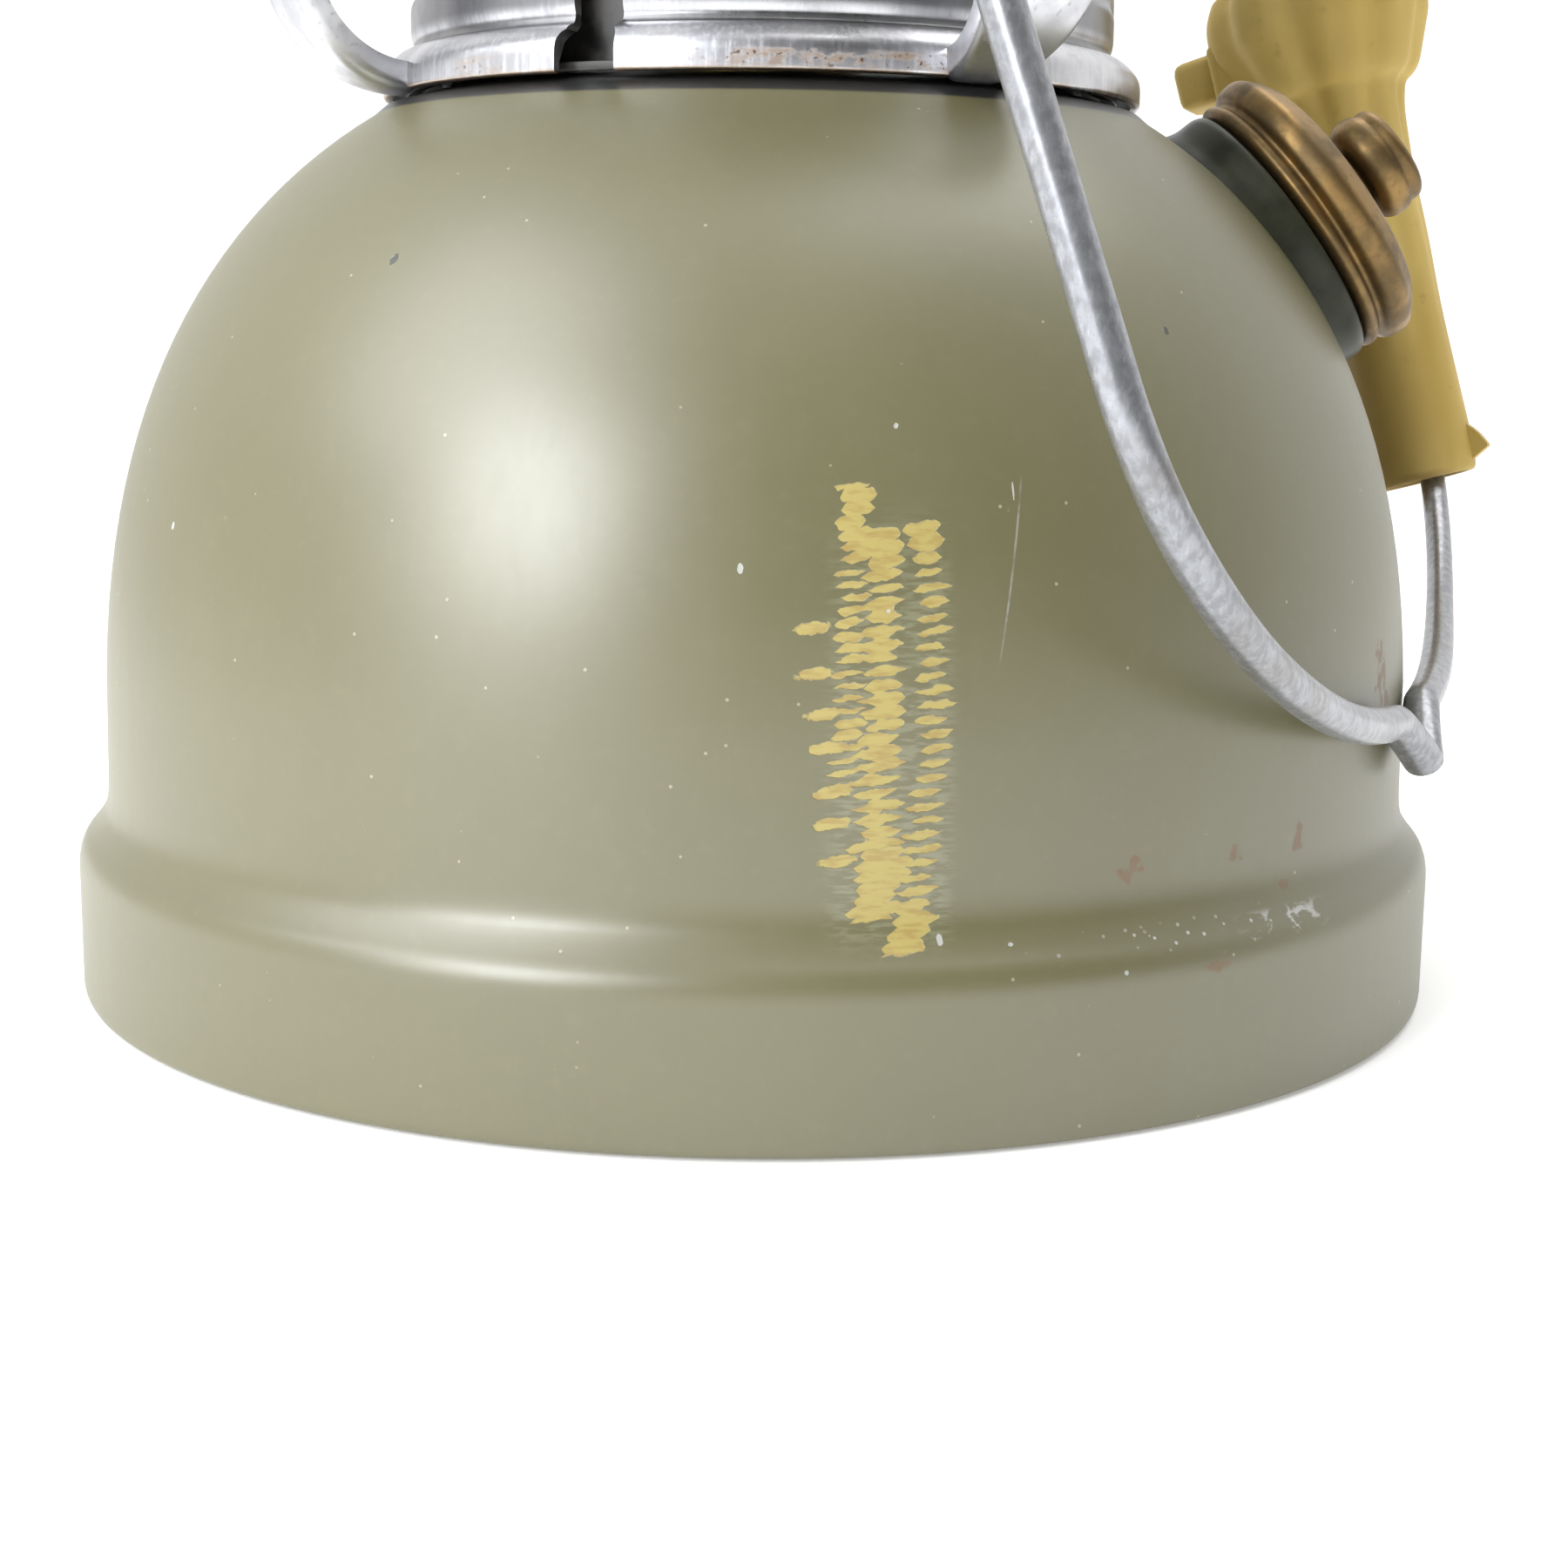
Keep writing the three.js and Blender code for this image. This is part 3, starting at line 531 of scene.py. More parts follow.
def spots(arc, height, places, ragged):
    """Mask of oval spots at (arc, height, half width, half height)."""
    mask = 0
    for at, level, wide, tall in places:
        across = (arc - at) / wide
        above = (height - level) / tall
        mask = (across * across + above * above + ragged).fade(1.1, 0.7) | mask
    return mask


def chatter(s, arc, height, centre, half_width, pitch, fullness, bottom, top, seed):
    """Mask of a column of slanted lens-shaped marks. fullness is a mark's height as a share of the pitch."""
    across = arc - centre
    level = height - across * CHATTER_SLOPE + s.noise(1.5, 2).fade(0.2, 0.8, -0.22, 0.22)
    row = level / pitch
    number = s.math("FLOOR", row) + seed
    offset = abs((s.math("FRACT", row) - 0.5) * 2.0)
    shift = s.random(number).line(0, 1, -0.45, 0.45)
    reach = s.random(number + 0.5).line(0, 1, 0.82, 1.18) * half_width
    lens = (1.0 - abs((across + shift) / reach) ** 2.6) * fullness
    inside = level.fade(bottom - 0.1, bottom + 0.1) * level.fade(top + 0.1, top - 0.1)
    return (lens - offset).fade(-0.02, 0.14) * inside


def chatter_marks(s, arc, height):
    """Mask of the tool marks that go through the tank's paint, right of its front."""
    patchy = s.noise(3.2, 1)
    left = chatter(s, arc, height, height.line(63, 36, 9.5, 8.4), 1.75, 1.17,
                   height.fade(56, 60, 0.55, 1.5) + patchy.fade(0.45, 0.7, 0, 0.5), 35.5, 63.6, 11)
    middle = chatter(s, arc, height, height.line(60, 24, 12.3, 11.5), height.line(58, 24, 1.9, 2.7), 1.27,
                     height.fade(54, 58, 0.72, 1.5) + patchy.fade(0.42, 0.66, 0, 0.75), 29.5, 59.6, 47)
    bend = abs(height - 45) ** 2.0
    right = chatter(s, arc, height, 17.0 - bend * 0.0047, height.line(58, 24, 1.8, 1.95), 1.37,
                    height.fade(26, 22, 0.62, 1.5) + height.fade(55, 60, 0, 0.9), 19.6, 60.2, 83)
    block = chatter(s, arc, height, height.line(29, 22.4, 12.4, 10.6), height.line(29, 23, 2.6, 2.35),
                    1.1, 1.9, 22.6, 29.6, 101)
    tail = chatter(s, arc, height, height.line(23, 19.4, 16, 13.4), 1.9, 1.1, 1.6, 19.6, 22.8, 119)
    lone = spots(arc, height - arc * CHATTER_SLOPE,
                 [(at, level - at * CHATTER_SLOPE, 2.0, 0.62) for at, level in LONE_MARKS],
                 s.noise(0.9, 2).fade(0.3, 0.7, -0.25, 0.35))
    return left | middle | right | block | tail | lone


def arc_of(s, radius):
    """X, Y and height, and the arc from the front towards +X at a radius, in millimetres."""
    x, y, height = s.place()
    return x, y, height, s.math("ARCTAN2", x, y * -1.0) * radius


def tank_paint():
    """The tank's paint, with tool marks down to the yellow primer, chips, rust, a rubbed bead, light burrs
    by the marks that are partly a painted highlight, and painted shade under the collar.
    """
    s, color, roughness = paint_base("tank_paint")
    x, y, height, arc = arc_of(s, WALL_RADIUS)
    ragged = s.noise(0.7).fade(0.3, 0.7, -0.4, 0.4)
    radius = s.math("SQRT", x * x + y * y)
    # Painted shade: the tank's shoulder under the collar is blacked out as the shadow in the gap there.
    color = s.mix(radius.fade(COLLAR_SHADE_RADIUS, COLLAR_SHADE_RADIUS - 0.4) * height.fade(90, 95), color, COLLAR_SHADE_BLACK)

    marks = chatter_marks(s, arc, height)
    # Light streaks by the tool marks: scuffed burrs, partly a painted highlight where their raised edges
    # catch the light.
    burr_and_highlight = s.noise(0.4, 2, (0.2, 0.2, 1)).fade(0.42, 0.62)
    primer = s.mix(s.noise(0.55, 2, (0.25, 0.25, 1)).fade(0.4, 0.7), PRIMER, PRIMER_ORANGE)
    near = arc.fade(5.5, 9) * arc.fade(20, 17.5) * height.fade(19, 22) * height.fade(64, 58)
    color = s.mix(near * burr_and_highlight * height.fade(62, 50, 0.1, 0.22), color, BURR_AND_HIGHLIGHT)
    color = s.mix(marks, color, primer)

    rust = spots(arc, height, RUST_SPOTS, s.noise(1.3).fade(0.25, 0.75, -0.9, 1.6))
    color = s.mix(rust * 0.42, color, RUST)
    dark = spots(arc, height, DARK_CHIPS, ragged)
    color = s.mix(dark, color, CHIP)
    white = spots(arc, height, WHITE_CHIPS, ragged)
    scuffed = (arc.fade(50, 56) * arc.fade(67, 62) * abs(height - 18.8).fade(1.5, 0.5)
               * s.noise(1.4, 4, (0.5, 0.5, 1), 0.8).fade(0.47, 0.58))
    distance, tint = s.cells(0.75)
    sparkle = (arc.fade(24, 34) * arc.fade(66, 52) * distance.fade(0.34, 0.22) * tint.fade(0.72, 0.78)
               * abs(height - 19.0).fade(2.2, 0.4))
    scratch = (abs(arc - height.line(47, 64, 23.7, 27.0)).fade(0.16, 0.04) * height.fade(46, 50)
               * height.fade(65, 62) * s.noise(2, 2).fade(0.4, 0.6, 0.1, 0.5))
    color = s.mix((white | scuffed | sparkle | scratch) * 0.85, color, BARE_METAL)
    s.bump(1.0 - (marks | dark | white), 0.08, 0.6)
    return s.finish(color, roughness + (marks | rust) * 0.16)


# ---------------------------------------------------------------- bare metals and the rest

# How far the collar's outer edge stands above the seat that the CAD model gives it.
COLLAR_LIFT = 0.5


def chrome(name, shine, bright, dull):
    """Worn plating with fine scratches and soft haze; shine is its range of roughness."""
    s = Surface(name, Metallic=1.0)
    haze = s.noise(5, 4)
    speck = s.noise(0.9, 4)
    color = s.mix(haze.fade(0.4, 0.7), bright, dull)
    color = s.mix(speck.fade(0.6, 0.72, 0, 0.35), color, srgb(150, 144, 132))
    s.bump(s.noise(0.35, 2, (1, 1, 0.2)), 0.006, 0.5)
    s.bump(s.noise(7, 2), 0.12, 0.35)
    return s.finish(color, haze.fade(0.3, 0.7, *shine) + speck.fade(0.5, 0.8, 0, 0.2))


def collar_chrome():
    """The gallery collar's plating, with a rusty band at the front right, a dark spot at one strap's foot
    and a grimy lower edge; its upper tier and the groove below it are darkened as painted shade.
    """
    s = Surface("collar_chrome", Metallic=1.0)
    x, y, height, arc = arc_of(s, COLLAR_RADIUS)
    haze = s.noise(6, 4)
    brushed = s.noise(0.5, 3, (1, 1, 0.12))
    color = s.mix(haze.fade(0.35, 0.7), srgb(206, 206, 208), srgb(178, 178, 183))
    color = s.mix(brushed.fade(0.4, 0.75, 0, 0.55), color, srgb(226, 226, 228))
    # Painted shade: the upper tier is darkened, standing in for the darker surroundings that it reflects.
    color = s.mix(height.fade(110.5, 112, 0, 0.85), color, srgb(132, 132, 135))
    # Painted shade in the groove between the two tiers.
    groove_shade = height.fade(109.0, 109.4) * height.fade(110.7, 110.2)
    color = s.mix(groove_shade * 0.8, color, srgb(112, 112, 112))
    edge = COLLAR_BOTTOM + COLLAR_LIFT
    grime = height.fade(edge + 0.6, edge + 0.1) * haze.fade(0.3, 0.5)
    color = s.mix(grime * 0.75, color, srgb(150, 118, 70))
    side = arc.fade(-12, 2) * arc.fade(23, 19) | s.noise(19, 2).fade(0.56, 0.66, 0, 0.7)
    above = height - COLLAR_BOTTOM
    band = side * above.fade(0.7, 1.2) * above.fade(3.0, 2.4)
    rust = band * s.noise(1.7, 5, (0.7, 0.7, 1.3)).fade(0.44, 0.6)
    ragged = s.noise(0.7).fade(0.3, 0.7, -0.4, 0.4)
    # Rust pits in the band, and a dark brown spot at the foot of the strap at bearing 300.
    pits_and_strap_foot_spot = band * s.noise(0.7).fade(0.6, 0.68) | spots(arc, above, [(23.5, 1.7, 0.8, 0.8)], ragged)
    color = s.mix(rust * 0.75, color, srgb(138, 112, 86))
    color = s.mix(pits_and_strap_foot_spot, color, srgb(84, 52, 26))
    s.put(s.shader, "Metallic", (rust | pits_and_strap_foot_spot).fade(0.2, 0.9, 1.0, 0.35))
    s.bump(rust | pits_and_strap_foot_spot, 0.05, -0.6)
    s.bump(brushed, 0.012, 0.4)
    s.bump(s.noise(9, 2), 0.2, 0.4)
    return s.finish(color, haze.fade(0.3, 0.7, 0.26, 0.36) + brushed.fade(0.4, 0.8, 0, 0.12) + rust * 0.3)


def galvanised_wire():
    """Old zinc-coated wire: mottled greys, fine specks and stained stretches."""
    s = Surface("galvanised_wire", Metallic=0.7)
    mottled = s.noise(0.9, 4, (1, 1, 0.6))
    specks = s.noise(0.5, 3, (1, 1, 0.4))
    color = s.mix(mottled.fade(0.38, 0.62), srgb(140, 141, 144), srgb(160, 161, 165))
    color = s.mix(specks.fade(0.52, 0.7, 0, 0.3), color, srgb(196, 197, 199))
    color = s.mix(s.noise(14, 2).fade(0.56, 0.7, 0, 0.4), color, srgb(118, 112, 102))
    s.bump(mottled, 0.008, 0.25)
    s.bump(specks, 0.004, 0.25)
    return s.finish(color, mottled.fade(0.3, 0.7, 0.32, 0.27))


def aged_brass():
    """Dull brown brass, lighter where it is less tarnished."""
    s = Surface("aged_brass", Metallic=1.0)
    tarnish = s.noise(6, 4, None, 0.3)
    grain = s.noise(0.8, 4)
    color = s.mix(tarnish.fade(0.36, 0.66), srgb(112, 94, 66), srgb(150, 122, 78))
    color = s.mix(grain.fade(0.5, 0.75, 0, 0.25), color, srgb(96, 78, 54))
    s.bump(grain, 0.012, 0.4)
    return s.finish(color, tarnish.fade(0.35, 0.65, 0.52, 0.42) + grain.fade(0.5, 0.8, 0, 0.1))


def brass():
    """Warm machined brass with turning lines and a little tarnish."""
    s = Surface("brass", Metallic=1.0)
    tarnish = s.noise(4, 4)
    lines = s.noise(0.4, 2, (0.2, 0.2, 1))
    color = s.mix(tarnish.fade(0.4, 0.7), srgb(196, 164, 96), srgb(150, 118, 66))
    s.bump(lines, 0.01, 0.5)
    return s.finish(color, tarnish.fade(0.35, 0.7, 0.24, 0.42) + lines.fade(0.4, 0.7, 0, 0.08))


def steel():
    """Heat-stained steel."""
    s = Surface("steel", Metallic=1.0)
    grain = s.noise(0.8, 4)
    color = s.mix(s.noise(9).fade(0.4, 0.65), srgb(158, 158, 160), srgb(138, 122, 104))
    color = s.mix(grain.fade(0.55, 0.75, 0, 0.5), color, srgb(96, 84, 72))
    s.bump(grain, 0.03, 0.4)
    return s.finish(color, grain.fade(0.3, 0.8, 0.3, 0.5))


def two_tone(name, first, second, size, rough, relief, **values):
    """A material with patches of a size in two colours, a range of roughness and fine relief."""
    s = Surface(name, **values)
    patches = s.noise(size, 4)
    s.bump(s.noise(0.6), relief, 0.5)
    return s.finish(s.mix(patches.fade(0.35, 0.68), first, second), patches.fade(0.3, 0.7, *rough))


# Heights of the sleeve's ends and how far its axis stands to the right there.
SLEEVE_LOW = 58.5
SLEEVE_HIGH = 128
SLEEVE_LOW_X = 93.7
SLEEVE_HIGH_X = 75.9


def yellow_plastic():
    """Matt mustard plastic, darker at its lower end, with painted shade on the side towards the tank."""
    s = Surface("yellow_plastic", IOR=1.46)
    broad = s.noise(12, 3, (1, 1, 0.4))
    color = s.mix(broad.fade(0.35, 0.68), srgb(190, 162, 84), srgb(206, 179, 102))
    color = s.mix(s.noise(3.2, 4).fade(0.62, 0.8, 0, 0.35), color, srgb(140, 108, 50))
    x, y, height = s.place()
    # Painted shade darkens the side towards the tank, low down; the lower rim is darkened as well.
    inner = (x - height.line(SLEEVE_LOW, SLEEVE_HIGH, SLEEVE_LOW_X, SLEEVE_HIGH_X)).fade(1.5, -6.5)
    shade_and_dark_rim = inner * height.fade(104, 74) | height.fade(SLEEVE_LOW + 2.4, SLEEVE_LOW + 0.6)
    color = s.mix(shade_and_dark_rim * 0.6, color, srgb(92, 66, 24))
    s.bump(s.noise(0.7), 0.02, 0.4)
    return s.finish(color, broad.fade(0.3, 0.7, 0.6, 0.7))


def glass():
    """Clear globe glass with a faint smear."""
    s = Surface("globe_glass", Transmission_Weight=1.0, IOR=1.47)
    smear = s.noise(18, 3, (1, 1, 0.5))
    s.bump(s.noise(14, 1), 0.12, 0.25)
    return s.finish(s.mix(smear.fade(0.3, 0.8), srgb(252, 254, 253), srgb(243, 250, 247)),
                    smear.fade(0.45, 0.8, 0.0, 0.06))


def mantle_cloth():
    """Burnt mantle: white ash that keeps the knitted net of the cloth."""
    s = Surface("mantle_cloth", IOR=1.4)
    x, y, height = s.place()
    loops = s.math("SINE", s.math("ARCTAN2", x, y) * 56.0)
    net = s.math("SINE", height * (2 * math.pi / 1.3)) * loops
    s.bump(net, 0.35, 0.8)
    return s.finish(s.mix(net.fade(-0.6, 0.6), srgb(196, 190, 176), srgb(240, 238, 230)),
                    net.fade(-0.5, 0.5, 0.95, 0.8))


MATERIALS = {
    "olive_paint": olive_paint(),
    "tank_paint": tank_paint(),
    "chrome": chrome("worn_chrome", (0.13, 0.24), srgb(232, 232, 233), srgb(212, 212, 215)),
    "satin_chrome": chrome("satin_chrome", (0.3, 0.42), srgb(212, 212, 215), srgb(190, 190, 194)),
    "collar_chrome": collar_chrome(),
    "galvanised_wire": galvanised_wire(),
    "aged_brass": aged_brass(),
    "brass": brass(),
    "steel": steel(),
    "black_enamel": two_tone("black_enamel", srgb(62, 60, 56), srgb(30, 29, 27), 4, (0.5, 0.3), 0.03),
    "neck_enamel": two_tone("neck_enamel", srgb(56, 57, 44), srgb(38, 39, 30), 7, (0.36, 0.3), 0.01,
                            IOR=1.33,
                            Specular_IOR_Level=0.3),
    "rubber": two_tone("rubber", srgb(34, 33, 32), srgb(52, 50, 47), 2, (0.6, 0.85), 0.05),
    "yellow_plastic": yellow_plastic(),
    "globe_glass": glass(),
    "mantle_cloth": mantle_cloth(),
    "ceramic": two_tone("ceramic", srgb(222, 216, 198), srgb(186, 176, 150), 5, (0.55, 0.8), 0.05),
    "bakelite": two_tone("bakelite", srgb(46, 30, 22), srgb(28, 19, 15), 6, (0.24, 0.4), 0.01, IOR=1.6),
    "leather": two_tone("leather", srgb(96, 62, 36), srgb(70, 44, 26), 2, (0.6, 0.85), 0.08),
}


# ---------------------------------------------------------------- tank

DOME_START = 28
DOME_HEIGHT = 84.5
DOME_POWER = 2.42
SHEET = 1.1
TOP_HOLE_RADIUS = 12


def dome_height(radius):
    """Height of the tank's dome at a radius, on its superellipse."""
    return DOME_START + DOME_HEIGHT * (1 - (radius / WALL_RADIUS) ** DOME_POWER) ** (1 / DOME_POWER)


def tank_outline():
    """Outer outline of the tank, from its bottom edge over the bead to the hole in its crown."""
    outline = filleted([
        (SKIRT_RADIUS - 1.6, 0, 0), (SKIRT_RADIUS, 0.2, 1.4), (SKIRT_RADIUS, 17.3, 2.3),
        (SKIRT_RADIUS - 2.3, 19.9, 1.5), (WALL_RADIUS + 0.1, 22.4, 3.2), (WALL_RADIUS, DOME_START),
    ], 8, closed=False)
    shares = [math.sin(math.radians(angle)) for angle in range(86, 34, -2)]
    outline += [(WALL_RADIUS * share, dome_height(WALL_RADIUS * share)) for share in shares]
    crown = filleted([(45, 103.1, 0), (38, 105.1, 3), (29, 106.8, 3), (20, TANK_TOP, 4),
                      (TOP_HOLE_RADIUS, TANK_TOP)],
                     4, closed=False)
    return outline + crown


def make_tank():
    """Tank shell with holes for the filler and the pump, and the pan under it."""
    shell = turned(sheet(tank_outline(), SHEET), 200)
    filler_hole = placed(cylinder(13.9, -14, 14, 48), FILLER)
    pump_hole = placed(cylinder(9.9, -20, 14, 48), PUMP)
    fine("tank_shell", carved(shell, filler_hole, pump_hole), "tank_paint", "olive_paint")
    edge = SKIRT_RADIUS - SHEET - 0.4
    pan = filleted([(0, 2.2, 0), (52, 2.2, 2), (56, 0, 2), (edge - 2, 0, 1.6), (edge, 3, 2), (edge, 12)], 5,
                   False)
    fine("base_pan", turned(sheet(pan, SHEET), 128), "olive_paint")


# ---------------------------------------------------------------- filler

NECK_TOP = 6.9
CAP_CROWN = 11.4


def make_filler():
    """Black collar, threaded neck, gasket, two-ridged cap, vent washer and release screw."""
    band = lathed([
        (13.9, -9, 0), (19.6, -9, 0), (18.2, -3.5, 2), (17.3, -1, 1), (17.4, 1.6, 0.6), (17.0, 2.6, 0.4),
        (13.9, 2.6, 0),
    ], 4, 96)
    fine("filler_collar", band, "neck_enamel", "black_enamel", place=FILLER)
    neck = [(11.5, -9), (13.5, -9), (13.5, 0)]
    for turn in range(6):
        neck += [(13.5, 0.4 + turn), (13.75, 0.9 + turn), (13.1, 1.2 + turn)]
    neck += [(13.2, NECK_TOP - 0.2), (12.9, NECK_TOP), (11.5, NECK_TOP)]
    fine("filler_neck", turned(neck, 72), "brass", place=FILLER)
    gasket = lathed([(11.5, 7.2, 0.3), (13.4, 7.2, 0.3), (13.4, 8.6, 0.3), (11.5, 8.6, 0.3)], 3, 64)
    fine("cap_gasket", gasket, "rubber", body="cap_seal", place=FILLER)
    cap = filleted([
        (14.1, 3.0, 0.2), (16.6, 3.0, 0.4), (17.4, 3.6, 0.5), (17.3, 4.4, 0.4), (16.8, 4.9, 0.3),
        (16.9, 5.4, 0.3),
        (17.9, 5.9, 0.6), (18.3, 7.4, 1.2), (18.1, 8.6, 0.8), (15.4, 10.7, 0.8), (12.3, 11.1, 1.2),
        (10.4, 10.4, 1.2),
        (7.2, 10.5, 1.4), (5.4, 11.2, 0.5), (4.6, CAP_CROWN, 0.3), (2.6, CAP_CROWN, 0), (2.6, 8.9, 0),
        (14.1, 8.9, 0),
    ], 6)

    def dented(radius, height, angle):
        if radius < 15:
            return radius
        return radius + 0.06 * math.sin(5 * angle + 0.7) + 0.02 * math.sin(13 * angle)
    fine("filler_cap", turned(cap, 144, dented), "aged_brass", body="filler_cap", place=FILLER)
    washer = lathed([(2.6, 11.7, 0.15), (4.2, 11.7, 0.15), (4.2, 12.5, 0.15), (2.6, 12.5, 0.15)], 2, 40)
    fine("vent_washer", washer, "rubber", body="vent_seal", place=FILLER)
    screw = lathed([
        (0, 5.5, 0), (2.2, 5.5, 0.4), (2.2, 12.8, 0.1), (3.4, 12.8, 0.3), (3.7, 13.6, 0.3), (5.7, 13.8, 0.8),
        (6.6, 15.0, 1.0), (6.6, 16.9, 0.8), (6.1, 17.5, 0.3), (6.2, 18.8, 0.8), (5.3, 19.5, 0.7),
        (4.7, 19.2, 0.3),
        (4.1, 19.5, 0.4), (0, 19.7, 0),
    ], 5, 96)
    fine("release_screw", screw, "aged_brass", body="release_screw", also=["release_stem"],
         place=FILLER)


# ---------------------------------------------------------------- pump

def make_pump():
    """Pump flange, cap with a milled edge, rod and lobed knob."""
    flange = lathed([(9.9, -8, 0), (15, -8, 0), (13.6, -1, 1.5), (12.8, 1, 0.6), (12.8, 2.6, 0.5),
                     (9.9, 2.6, 0)], 4, 80)
    fine("pump_flange", flange, "olive_paint", place=PUMP)
    cap = lathed([
        (8.6, 5.4, 0), (8.6, 3.4, 0.1), (11.6, 3.4, 0.3), (12.2, 4.2, 0.3), (12.2, 8.2, 0.4),
        (11.2, 9.6, 0.8),
        (6.5, 10.0, 0.8), (5.2, 11.0, 0.5), (3.1, 11.0, 0.3), (3.1, 5.4, 0),
    ], 4, 200, scalloped(20, 0.3, 12))
    fine("pump_cap", cap, "brass", place=PUMP)
    rod = lathed([(0, -75, 0), (2.5, -75, 0.5), (2.5, 14.6, 0), (0, 14.6, 0)], 3, 32)
    fine("pump_rod", rod, "steel", body="pump", place=PUMP)
    knob = lathed([
        (0, 14.3, 0), (4.6, 14.3, 0.4), (5.6, 15.4, 0.6), (6.4, 17.0, 1.0), (9.8, 18.6, 1.4),
        (10.7, 21, 1.4),
        (10.2, 23.8, 1.4), (8, 25.6, 1.4), (3.4, 26.1, 0.6), (2.8, 25.6, 0.3), (0, 25.6, 0),
    ], 5, 144, scalloped(6, 0.5, 9))
    fine("pump_knob", knob, "bakelite", body="pump", place=PUMP)


# ---------------------------------------------------------------- valve and burner

def make_valve():
    """Control spindle and its fluted knob."""
    spindle = lathed([(0, 3.4, 0), (2.2, 3.4, 0.5), (2.2, 63, 0.3), (0, 63, 0)], 3, 32)
    fine("control_spindle", spindle, "steel", body="control", place=CONTROL)
    knob = lathed([
        (2.5, 57, 0), (5, 57, 0.5), (5.8, 58.6, 0.6), (8.4, 59.4, 0.8), (11.2, 59.2, 0.6), (12, 60.6, 0.8),
        (12, 63.8, 0.9), (10.8, 65.2, 0.9), (7.4, 64.9, 1), (5, 65.8, 0.8), (0, 65.8, 0), (0, 63.4, 0),
        (2.5, 63.4, 0),
    ], 5, 160, scalloped(8, 0.55, 10))
    fine("control_knob", knob, "bakelite", body="control", place=CONTROL)


def make_burner():
    """Preheat cup, vaporiser tube, mantle with its support, burner head and bridge."""
    cup = lathed([
        (6.5, 123.8, 0.4), (15.8, 123.8, 1.4), (17.5, 131, 1), (18.0, 132, 0.3), (17.0, 132.3, 0.3),
        (15.2, 125.6, 1.2),
        (7.6, 125, 0.5), (7.6, 130, 0.2), (6.5, 130, 0.2),
    ], 4, 72)
    fine("preheat_cup", cup, "brass")
    tube = lathed([(2.6, 123.3, 0), (5, 123.3, 0.4), (5, 243, 0.4), (2.6, 243, 0)], 3, 40)
    fine("vaporiser_tube", tube, "brass")
    support = lathed([(5.4, 158, 0.3), (7, 158, 0.6), (7, 161, 0.4), (6.6, 162, 0.4), (7, 165, 0.5),
                      (5.4, 165, 0.3)], 3, 48)
    fine("mantle_support", support, "ceramic")
    bulb = filleted([
        (7.6, 160, 0), (8.3, 160, 0.4), (9, 165.6, 4), (15.2, 179, 7), (17, 195, 8), (14.4, 211, 6),
        (10.2, 220.5, 3),
        (10.2, 226, 0),
    ], 6, closed=False)

    def creased(radius, height, angle):
        puckers = 0.25 * math.cos(16 * angle) * max(0, 1 - min(abs(height - 160), abs(height - 224)) / 12)
        return radius + puckers
    fine("mantle", turned(sheet(bulb, 0.5), 144, creased), "mantle_cloth")
    head = lathed([
        (8, 220, 0.2), (9, 220, 0.3), (9.2, 228, 1.5), (16.4, 231.4, 1.5), (17, 234, 1), (17, 254.5, 2),
        (12, 261.6, 2),
        (5, 262.4, 0.6), (5, 265.6, 0.4), (0, 265.6, 0), (0, 260.6, 0), (11.4, 260.6, 1), (15.8, 254, 1),
        (15.8, 233, 1), (8, 229.4, 0.6),
    ], 4, 72)
    ports = [placed(cylinder(1.6, 12, 20, 16),
                    about_z(k * 36) @ axis_frame((0, 0, 243), (1, 0, 0))) for k in range(10)]
    fine("burner_head", carved(head, *ports), "steel")
    centre = (low("burner_bridge") + high("burner_bridge")) / 2
    size = high("burner_bridge") - low("burner_bridge")
    outline = filleted([(-size.x / 2, -6.5, 1.5), (-20, -6.5, 3), (-12, -4.6, 3), (12, -4.6, 3),
                        (20, -6.5, 3),
                        (size.x / 2, -6.5, 1.5), (size.x / 2, 6.5, 1.5), (20, 6.5, 3), (12, 4.6, 3),
                        (-12, 4.6, 3),
                        (-20, 6.5, 3), (-size.x / 2, 6.5, 1.5)], 3)
    fine("burner_bridge", extruded(outline, centre.z - size.z / 2, centre.z + size.z / 2), "steel",
         bevel=0.3)


# ---------------------------------------------------------------- collar, globe and cage

TIER_RADIUS = 41.5
CAGE_RADIUS = 58.5
STRAP_FOOT = 104.4
STRAP_BEND_TOP = 119
STRAP_ROOT_HALF = 3.6
STRAP_HALF = 7.5
STRAP_FOLD = 1.6
STRAP_CROWN_RADIUS = 60
STRAP_TOP = high("guard_strap_1").z


